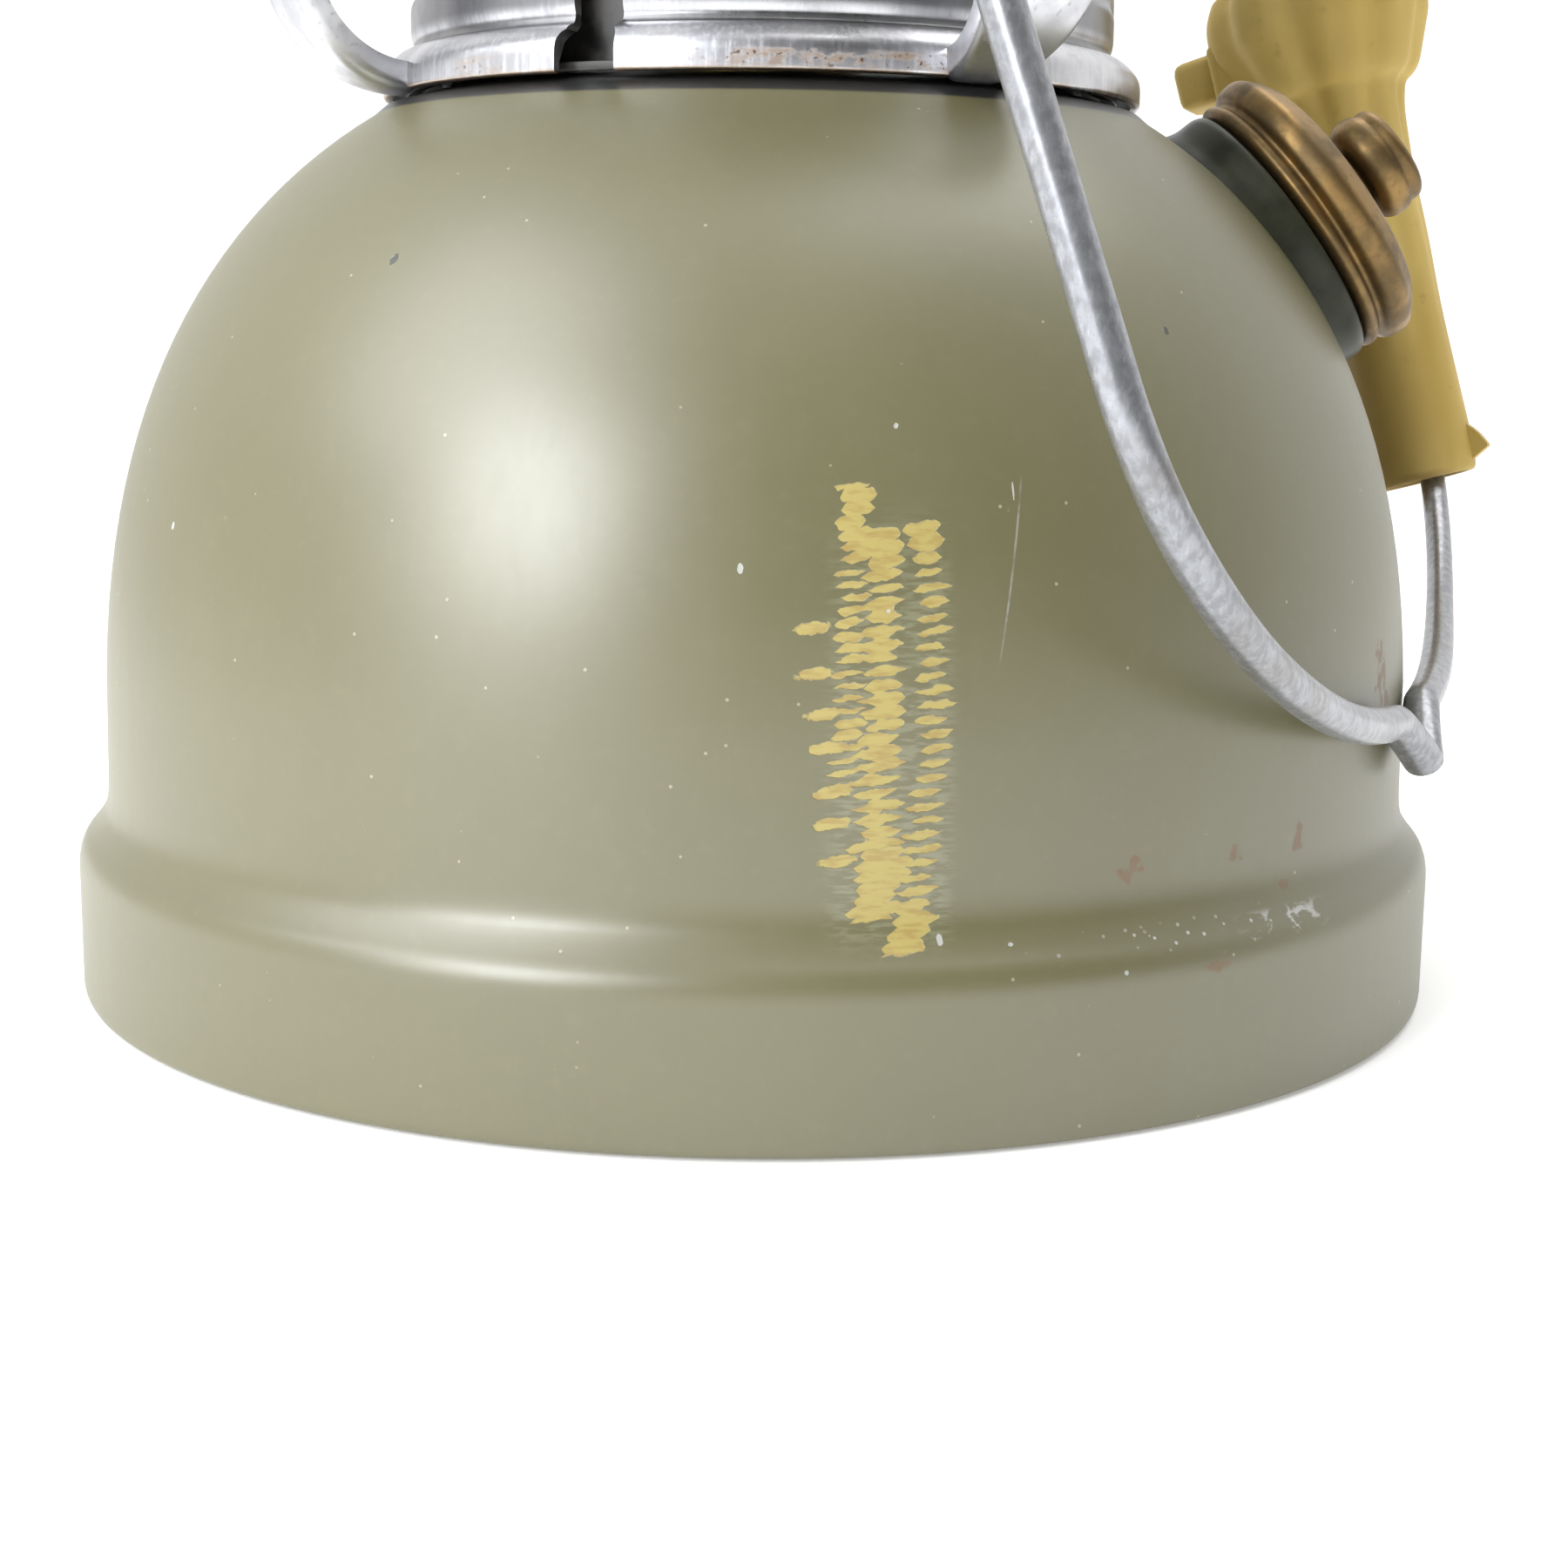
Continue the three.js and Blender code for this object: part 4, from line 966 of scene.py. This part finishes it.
def make_collar():
    """Two-tier gallery collar with its slots, the shield inside it, the globe's seat, and a black ring under
    its edge as painted shade.
    """
    edge = COLLAR_BOTTOM + COLLAR_LIFT
    outline = filleted([
        (COLLAR_RADIUS - 0.7, edge, 0), (COLLAR_RADIUS, edge + 0.1, 0.4),
        (COLLAR_RADIUS, COLLAR_BOTTOM + 3.0, 0.7), (44.7, 107.6, 1.2), (43.2, 109.1, 0.9),
        (TIER_RADIUS + 0.2, 109.5, 0.3), (TIER_RADIUS - 0.1, 110.3, 0.3), (TIER_RADIUS + 0.25, 111.3, 0.7),
        (TIER_RADIUS + 0.25, 114.6, 0.8),
        (TIER_RADIUS - 0.35, 115.6, 0.8), (TIER_RADIUS - 0.35, 126.6, 0.8), (TIER_RADIUS, COLLAR_TOP, 0),
    ], 5, closed=False)
    ledge = [(TIER_RADIUS - 0.9, COLLAR_TOP), (TIER_RADIUS - 1.2, 125), (36, 125), (36, 124),
             (TIER_RADIUS - 1.3, 124),
             (TIER_RADIUS - 1.3, 109.4), (42.7, 107.4), (43.9, 105.4), (COLLAR_RADIUS - 1.1, edge + 0.1)]
    lower = filleted([(-3.9, -4, 0), (3.1, -4, 0), (3.1, 4, 0.8), (2.5, 5.2, 0.6), (-3.2, 5.2, 0.9),
                      (-3.9, 4.4, 0.6)], 4)
    upper = filleted([(-3.2, 2, 0), (2.5, 2, 0), (2.5, 17.4, 1.2), (-3.2, 17.4, 1.2)], 4)
    cutters = []
    for bearing in (SLOT_BEARING, SLOT_BEARING + 180):
        stand = about_z(bearing) @ upright(COLLAR_BOTTOM)
        cutters += [placed(extruded(slot, 36.5, 52), stand) for slot in (lower, upper)]
    ring = turned(outline + ledge, 180)
    fine("gallery_ring", carved(ring, *cutters), "collar_chrome", "chrome", bevel=0.12)
    # A black ring inside the collar's lower edge, painted shade for the dark gap there.
    shade_ring = lathed([(40.6, COLLAR_BOTTOM + 1.2, 0.2), (42.4, COLLAR_BOTTOM + 0.8, 0.4),
                      (42.4, edge + 1.4, 0.2),
                        (40.6, edge + 1.4, 0.2)], 3, 128)
    piece("collar_shade_ring", shade_ring, "black_enamel", "black_enamel")
    seat = lathed([(36.6, 125.3, 0.3), (40.1, 125.3, 0.3), (40.1, 126.4, 0.3), (36.6, 126.4, 0.3)], 3, 96)
    fine("globe_seat", seat, "black_enamel")
    shield = filleted([(38.2, 106, 0), (38.2, 123.3, 1.2), (24, 123.3, 0)], 4, False)
    notch = placed(rounded_block((12, 8, 14), 1), about_z(SLOT_BEARING) @ Matrix.Translation((38, 0, 110.5)))
    fine("heat_shield", carved(turned(sheet(shield, 1.0), 96), notch), "black_enamel")


def make_globe():
    """Clear bulged globe with fire-polished rims."""
    outer = filleted([
        (39.5, GLOBE_BOTTOM, 0), (39.6, 136, 5), (42.4, 147, 8), (46.4, 160, 9), (47.6, 181, 12),
        (45.8, 207, 10),
        (42, 221.5, 8), (39.6, 231, 5), (39.5, GLOBE_TOP, 0),
    ], 8, closed=False)
    wall = 2.2
    rim = [(39.1, GLOBE_TOP + 0.1), (37.8, GLOBE_TOP + 0.1)]
    inner = [(radius - wall, height) for radius, height in outer[::-1]]
    foot = [(37.8, GLOBE_BOTTOM - 0.1), (39.1, GLOBE_BOTTOM - 0.1)]
    fine("globe", turned(outer + rim + inner + foot, 128), "globe_glass")


def strap_route():
    """Middle line of a strap as (radius, height): a quarter ellipse out of the collar, then straight up."""
    foot = COLLAR_RADIUS - 0.9
    route = []
    for step in range(25):
        angle = step / 24 * math.pi / 2
        route.append((foot + (CAGE_RADIUS - foot) * math.sin(angle),
                      STRAP_FOOT + (STRAP_BEND_TOP - STRAP_FOOT) * (1 - math.cos(angle))))
    for step in range(1, 23):
        route.append((CAGE_RADIUS, STRAP_BEND_TOP + (STRAP_TOP - STRAP_BEND_TOP) * step / 22))
    return route


def strap_shape():
    """A guard strap with folded edges, at bearing 0: narrow at its root and wide above."""
    route = strap_route()
    sections = []
    centres = []
    for i, (radius, height) in enumerate(route):
        before = Vector(route[max(i - 1, 0)])
        after = Vector(route[min(i + 1, len(route) - 1)])
        along = (after - before).normalized()
        outward = Vector((along.y, -along.x))
        opened = min(i / 20, 1)
        half = STRAP_ROOT_HALF + (STRAP_HALF - STRAP_ROOT_HALF) * opened
        edge = -STRAP_FOLD - 0.9 + 0.5 * opened
        fold = filleted([(-half, edge), (-half, 0.7, STRAP_FOLD), (0, 0.7), (half, 0.7, STRAP_FOLD),
                         (half, edge)],
                        6, closed=False)
        across = sheet([(side, n - side * side / (2 * STRAP_CROWN_RADIUS)) for side, n in fold], -1.1)
        centres.append(Vector((radius, 0, height)))
        sections.append([Vector((radius + outward.x * n, side, height + outward.y * n)) for side,
                         n in across])
    return swept(centres, sections)


def make_cage():
    """Four straps with rivets, the top ring they hold, and the two ears of the bail."""
    strap = strap_shape()
    rivet = lathed([(0, 0, 0), (2.4, 0, 0), (2.3, 0.8, 0.7), (1.2, 1.5, 0.8), (0, 1.6, 0)], 3, 20)
    rivets = []
    for node, bearing in STRAP_BEARINGS.items():
        fine(node, strap, "satin_chrome", "chrome", place=about_z(bearing), sharp=50)
        for side in (-3.4, 3.4):
            place = about_z(bearing) @ axis_frame((CAGE_RADIUS + 0.7, side, STRAP_TOP - 5), (1, 0, 0))
            rivets.append(placed(rivet, place))
    piece("strap_rivets", gathered(rivets), "steel", "steel")
    band = RING_RADIUS
    ring = lathed([
        (34, 246, 0.2), (40.4, 246, 0.6), (40.4, 236.5, 0.2), (41.4, 236.5, 0.3), (41.4, 246, 0.6),
        (47, 246, 0.6),
        (48, 247, 0.7), (51, 247, 0.7), (52, 246, 0.6), (band - SHEET, 246, 0.6), (band - SHEET, 237, 0.2),
        (band, 237, 0.3), (band, RING_TOP, 0.9), (52.6, RING_TOP, 0.8), (51.6, RING_TOP + 0.9, 0.7),
        (47.4, RING_TOP + 0.9, 0.7), (46.4, RING_TOP, 0.8), (34, RING_TOP, 0.3),
    ], 4, 144)
    fine("top_ring", ring, "chrome")
    for node, bearing in (("ear_front", SLOT_BEARING + 180), ("ear_rear", SLOT_BEARING)):
        plate_radius = 72.3
        plate = filleted([(-8, 249, 0.5), (8, 249, 0.5), (8, 262, 3), (6.4, 272, 5), (-6.4, 272, 5),
                          (-8, 262, 3)], 6)
        tab = placed(extruded(plate, plate_radius - 0.9, plate_radius + 0.9), upright(0))
        hole = placed(cylinder(2.35, 60, 90, 32), axis_frame((0, 0, PIVOT_HEIGHT), (1, 0, 0)))
        section = filleted([
            (band + 0.3, 238, 0.3), (band + 2.1, 238, 0.4), (band + 2.1, 248, 0.8),
            (plate_radius + 0.9, 248, 1.6),
            (plate_radius + 0.9, 250.5, 0), (plate_radius - 0.9, 250.5, 0), (plate_radius - 0.9, 249.8, 0.4),
            (band + 0.3, 249.8, 1.4),
        ], 4)
        foot = placed(extruded(section, -8, 8), Matrix.Rotation(math.radians(90), 4, "X"))
        boss = lathed([(2.35, 70.9, 0), (4.6, 70.9, 0.3), (4.4, 70.2, 0.4), (2.35, 70.0, 0.2)], 3, 40)
        washer = placed(boss, axis_frame((0, 0, PIVOT_HEIGHT), (1, 0, 0)))
        ear = gathered([carved(united(tab, foot), hole), washer])
        fine(node, ear, "chrome", place=about_z(bearing), bevel=0.3)


# ---------------------------------------------------------------- hood

DRUM_RADIUS = 45
DRUM_BOTTOM = 282
LOUVRES = 12


def make_hood():
    """Inner casing, flared skirt with rolled rim and louvred drum, domed cap, stud and milled nut."""
    casing = filleted([(41, 248.1, 0), (36.2, 248.1, 0.8), (35.9, 262, 0), (36, CASING_TOP - 1.4, 0.4),
                       (36.7, CASING_TOP - 0.6, 0.4), (35.8, CASING_TOP, 0)], 4, closed=False)
    fine("inner_casing", turned(sheet(casing, 0.8), 96), "steel")
    middle = (DRUM_BOTTOM + DRUM_TOP) / 2
    skirt = filleted([
        (RIM_RADIUS - 0.4, RIM_BOTTOM + 0.4, 0), (RIM_RADIUS - 0.4, 258, 2), (62.6, 264.4, 4),
        (55.6, 271.8, 4),
        (48.6, 277, 3), (46.2, 279.2, 1), (46, 281, 0.6), (DRUM_RADIUS, 282.4, 0.8),
        (DRUM_RADIUS, DRUM_TOP, 0),
    ], 6, closed=False)
    slot = filleted([(-2.6, -7.5, 1.2), (2.6, -7.5, 1.2), (2.6, 7.5, 1.2), (-2.6, 7.5, 1.2)], 4)
    slots = [placed(extruded(slot, 41, 49), about_z(k * 360 / LOUVRES) @ upright(middle))
             for k in range(LOUVRES)]
    fine("hood_skirt", carved(turned(sheet(skirt, SHEET), 144), *slots), "olive_paint", bevel=0.15)
    rim = [Vector(((RIM_RADIUS - 0.6) * math.cos(a), (RIM_RADIUS - 0.6) * math.sin(a), RIM_BOTTOM + 0.9))
           for a in [2 * math.pi * k / 144 for k in range(144)]]
    piece("hood_rolled_rim", tube_along(rim, 1.25, UP, 14, closed=True), "olive_paint", "olive_paint")
    lips = []
    lip = filleted([(-3.1, -8, 1.6), (3.1, -8, 1.6), (3.1, 8, 1.6), (-3.1, 8, 1.6)], 5)
    for k in range(LOUVRES):
        turn = about_z(k * 360 / LOUVRES)
        loop = [turn @ Vector((math.sqrt(DRUM_RADIUS ** 2 - y * y), y, middle + z)) for y, z in lip]
        lips.append(tube_along(loop, 0.75, turn @ Vector((1, 0, 0)), 10, closed=True))
    piece("louvre_lips", gathered(lips), "olive_paint", "olive_paint")
    cap = filleted([
        (42, low("hood_cap").z, 0), (CAP_RADIUS - 0.2, low("hood_cap").z, 0.9), (CAP_RADIUS, 307.4, 1.2),
        (46.6, 313, 4), (38, 321.2, 5), (26, 327.6, 5), (12, 331.2, 3), (6, 331.7, 1), (2.9, CAP_TOP, 0),
    ], 7, closed=False)
    fine("hood_cap", turned(sheet(cap, 1.0), 144), "olive_paint")
    bottom = low("hood_stud").z
    top = high("hood_stud").z
    stud = [(0, bottom), (2.3, bottom)]
    for step in range(int(top - bottom) - 1):
        stud += [(2.3, bottom + 0.4 + step), (2.5, bottom + 0.7 + step), (2.5, bottom + 0.9 + step),
                 (2.3, bottom + 1.2 + step)]
    stud += [(2.0, top), (0, top)]
    fine("hood_stud", turned(stud, 28), "steel")
    base = low("hood_nut").z
    peak = high("hood_nut").z
    nut = lathed([
        (2.9, base, 0), (7.4, base, 0.3), (8.4, base + 1.6, 0.5), (8.4, base + 6, 0.7),
        (6.8, base + 7.6, 0.8),
        (6.6, base + 10.4, 1.5), (4.4, base + 13, 1.5), (0, peak, 0), (0, base + 9.7, 0),
        (2.9, base + 9.7, 0),
    ], 5, 192, scalloped(16, 0.3, 8))
    fine("hood_nut", nut, "brass")


# ---------------------------------------------------------------- bail and its sleeve

BAIL_HALF_WIDTH = 78
BAIL_RADIUS = 2
BAIL_ARM = 202.5
BAIL_END = 39.1
BAIL_POWER = 1.95
BAIL_TILT = math.radians(19.48)
NOTCH_DEPTH = 5.6
NOTCH_HALF_WIDTH = 9
HOOK_LENGTH = 7.5
HOOK_BEND = 3.2
REAR_BOW = -1.8
GRIP_LENGTH = 72.5
GRIP_BOTTOM_HEIGHT = 59.5
GRIP_BOTTOM_WIDTH = 75.2
GRIP_BOTTOM_LEAN = -3.5
GRIP_TOP_LEAN = 0.2

ACROSS = -Vector(JOINTS["bail_swing"]["axis"])
OUTWARD = ACROSS.cross(UP)
DOWN = OUTWARD * math.sin(BAIL_TILT) - UP * math.cos(BAIL_TILT)
SQUARE = OUTWARD * math.cos(BAIL_TILT) + UP * math.sin(BAIL_TILT)


def bail_point(across, down, square=0.0):
    """A point given in the hanging bail's own plane."""
    return Vector((0, 0, PIVOT_HEIGHT)) + ACROSS * across + DOWN * down + SQUARE * square


def bail_depth(across):
    """Depth of the rounded end at a distance across, with the hanging notch in its middle."""
    share = min(abs(across) / BAIL_HALF_WIDTH, 1)
    end = BAIL_ARM + BAIL_END * (1 - share ** BAIL_POWER) ** (1 / BAIL_POWER)
    notch = max(0, 1 - abs(across) / NOTCH_HALF_WIDTH)
    return end + NOTCH_DEPTH * notch ** 1.3


def eased(share):
    """Smooth step from 0 to 1."""
    share = min(max(share, 0), 1)
    return share * share * (3 - 2 * share)


def bail_bow(across, down):
    """How far the rear arm is bent out of the bail's plane."""
    return REAR_BOW * eased((down - HOOK_BEND) / 60) * eased((across - NOTCH_HALF_WIDTH) / 50)


def half_bail():
    """Half of the wire's middle line as (across, down), from the hook in the ear to the notch."""
    route = [(BAIL_HALF_WIDTH - HOOK_LENGTH, 0), (BAIL_HALF_WIDTH - HOOK_BEND, 0)]
    for step in range(1, 8):
        turn = step / 8 * math.pi / 2
        route.append((BAIL_HALF_WIDTH - HOOK_BEND * (1 - math.sin(turn)), HOOK_BEND * (1 - math.cos(turn))))
    for step in range(25):
        route.append((BAIL_HALF_WIDTH, HOOK_BEND + (BAIL_ARM - HOOK_BEND) * step / 24))
    for angle in range(2, 84, 2):
        across = BAIL_HALF_WIDTH * math.cos(math.radians(angle))
        route.append((across, bail_depth(across)))
    for step in range(12):
        across = NOTCH_HALF_WIDTH * (1 - step / 11)
        route.append((across, bail_depth(across)))
    return route


def make_bail():
    """The bail wire with its flattened notch, and the fluted sleeve with a lug and a fin."""
    half = half_bail()
    whole = half + [(-across, down) for across, down in half[-2::-1]]
    centres = []
    for i, (across, down) in enumerate(whole):
        sway = 0.12 * noise.noise(Vector((i * 0.11, 3.1, 0)))
        centres.append(bail_point(across, down, sway + bail_bow(across, down)))

    def squeeze(i):
        across, down = whole[i]
        near = max(0, 1 - abs(across) / 14)
        worn = 0.16 * eased((across - 20) / 40) * eased((down - 10) / 30)
        return 1 - 0.16 * near - worn, 1 + 0.14 * near - worn
    fine("bail_wire", tube_along(centres, BAIL_RADIUS, SQUARE, 24, squeeze=squeeze), "galvanised_wire",
         body="bail")

    down = (PIVOT_HEIGHT - GRIP_BOTTOM_HEIGHT) / math.cos(BAIL_TILT)
    foot = bail_point(GRIP_BOTTOM_WIDTH, down, GRIP_BOTTOM_LEAN)
    head = bail_point(BAIL_HALF_WIDTH, down - GRIP_LENGTH, GRIP_TOP_LEAN)
    axis = (head - foot).normalized()
    side = (SQUARE - axis * SQUARE.dot(axis)).normalized()
    place = Matrix((side, axis.cross(side), axis)).transposed().to_4x4()
    place.translation = foot
    profile = filleted([
        (6.1, 0, 0.3), (7.2, 0, 0.8), (7.6, 2.5, 1), (7.6, 23, 6), (8.2, 33, 5), (8.3, 42, 3),
        (8.6, 46.5, 3),
        (9.0, 51.5, 2), (9.9, 54.9, 1.2), (11.4, 55.7, 1.0), (12.4, 57, 1), (14, 61, 2), (15.3, 64.2, 1.5),
        (15.2, 69, 2), (13.4, 72.3, 1.0), (5.6, GRIP_LENGTH, 0.6), (5.6, 26, 0), (6.1, 22, 0),
    ], 5)

    def fluted(radius, height, angle):
        if radius < 7:
            return radius
        depth = 0.35 * min(1, max(0, (height - 10) / 25)) + 1.1 * min(1, max(0, (height - 40) / 20))
        wobble = 0.06 * math.sin(3 * angle + height * 0.1)
        return radius - depth * (0.5 + 0.5 * math.cos(8 * angle + 0.4)) ** 2 + wobble
    lug = placed(rounded_block((10, 8, 6.8), 1.5), Matrix.Translation((-15.6, 0, 62.6)))
    web = placed(rounded_block((6, 13, 12), 1.2), Matrix.Translation((-11.9, 0, 60.5)))
    fin_outline = filleted([(6.5, 7.4, 0), (8.7, 4.9, 1.0), (9.8, 2.6, 0.4), (8.6, 2.0, 0.5), (6.5, 0.9, 0)],
                           4)
    fin = placed(extruded(fin_outline, -1.2, 1.2), Matrix.Rotation(math.radians(90), 4, "X"))
    fine("bail_grip", united(turned(profile, 128, fluted), web, lug, fin), "yellow_plastic", body="bail",
         place=place, bevel=0.25)


# ---------------------------------------------------------------- pieces that keep their CAD mesh

KEPT = {
    "pump_barrel": "brass", "pump_check_valve": "brass", "pump_leather": "leather", "top_boss": "brass",
    "valve_body": "brass", "gland_nut": "brass", "pricker_rod": "steel", "pickup_tube": "brass",
    "pickup_strainer": "brass", "jet_nipple": "brass",
}


def dress_kept_nodes():
    """Gives the CAD nodes that stay their materials."""
    for node, material in KEPT.items():
        for slot in frame["nodes"][node].material_slots:
            slot.material = MATERIALS[material]


# ---------------------------------------------------------------- stage, light and camera

def make_stage():
    """A plain pale floor."""
    s = Surface("floor", Emission_Color=(1, 1, 1, 1), Emission_Strength=0.27)
    s.finish(s.mix(s.noise(160, 2).fade(0.3, 0.7), (0.93, 0.93, 0.93, 1), (0.95, 0.95, 0.95, 1)), 0.9)
    size = 6000
    floor = raw_object(([(-size, -size, 0), (size, -size, 0), (size, size, 0), (-size, size, 0)],
                        [[0, 1, 2, 3]]))
    floor.name = "floor"
    floor.data.materials.append(s.material)
    floor.location.z = -0.2 * MM


def area_light(name, place, target, width, height, power, color=(1, 1, 1)):
    """A soft rectangular light that faces a target."""
    data = bpy.data.lights.new(name, "AREA")
    data.shape = "RECTANGLE"
    data.size = width * MM
    data.size_y = height * MM
    data.energy = power
    data.color = color
    item = bpy.data.objects.new(name, data)
    bpy.context.scene.collection.objects.link(item)
    item.location = Vector(place) * MM
    item.rotation_euler = (Vector(target) - Vector(place)).to_track_quat("-Z", "Y").to_euler()


def make_light():
    """White surroundings that are darker on the camera's side, and one soft key from the upper left."""
    world = bpy.data.worlds.new("studio")
    bpy.context.scene.world = world
    world.use_nodes = True
    nodes = world.node_tree.nodes
    links = world.node_tree.links
    toward = nodes.new("ShaderNodeVectorMath")
    toward.operation = "DOT_PRODUCT"
    links.new(nodes.new("ShaderNodeTexCoord").outputs["Generated"], toward.inputs[0])
    toward.inputs[1].default_value = (0.45, -0.893, 0.0)
    shade = nodes.new("ShaderNodeMapRange")
    shade.interpolation_type = "SMOOTHSTEP"
    for socket, value in (("From Min", 0.0), ("From Max", 0.92), ("To Min", 1.12), ("To Max", 0.12)):
        shade.inputs[socket].default_value = value
    links.new(toward.outputs["Value"], shade.inputs["Value"])
    background = nodes["Background"]
    background.inputs["Color"].default_value = (1, 1, 1, 1)
    links.new(shade.outputs["Result"], background.inputs["Strength"])
    area_light("key", (-585, -740, 435), (-20, -60, 60), 430, 440, 6.8, (0.94, 0.965, 1))
    area_light("left", (-700, -350, 800), (0, 0, 60), 700, 700, 5, (0.94, 0.965, 1))
    area_light("top", (200, 200, 1100), (0, 0, 100), 900, 900, 5.5)


def make_camera():
    """The camera low in front of the tank, tipped down a little."""
    place = Vector((0, -304.55, 76.95))
    pitch = 0.18002
    yaw = 0.01177
    roll = 0.01174
    forward = Vector((math.sin(yaw) * math.cos(pitch), math.cos(yaw) * math.cos(pitch), -math.sin(pitch)))
    level_right = Vector((math.cos(yaw), -math.sin(yaw), 0))
    level_up = level_right.cross(forward)
    right = level_right * math.cos(roll) + level_up * math.sin(roll)
    above = level_up * math.cos(roll) - level_right * math.sin(roll)
    data = bpy.data.cameras.new("camera")
    data.lens = 56.104
    data.sensor_width = 36
    data.clip_start = 0.01
    item = bpy.data.objects.new("camera", data)
    bpy.context.scene.collection.objects.link(item)
    turn = Matrix((right, above, -forward)).transposed().to_4x4()
    item.matrix_world = Matrix.Translation(place * MM) @ turn
    bpy.context.scene.camera = item


make_tank()
make_filler()
make_pump()
make_valve()
make_burner()
make_collar()
make_globe()
make_cage()
make_hood()
make_bail()
dress_kept_nodes()
make_stage()
make_light()
make_camera()
bpy.context.scene.view_settings.view_transform = "Standard"
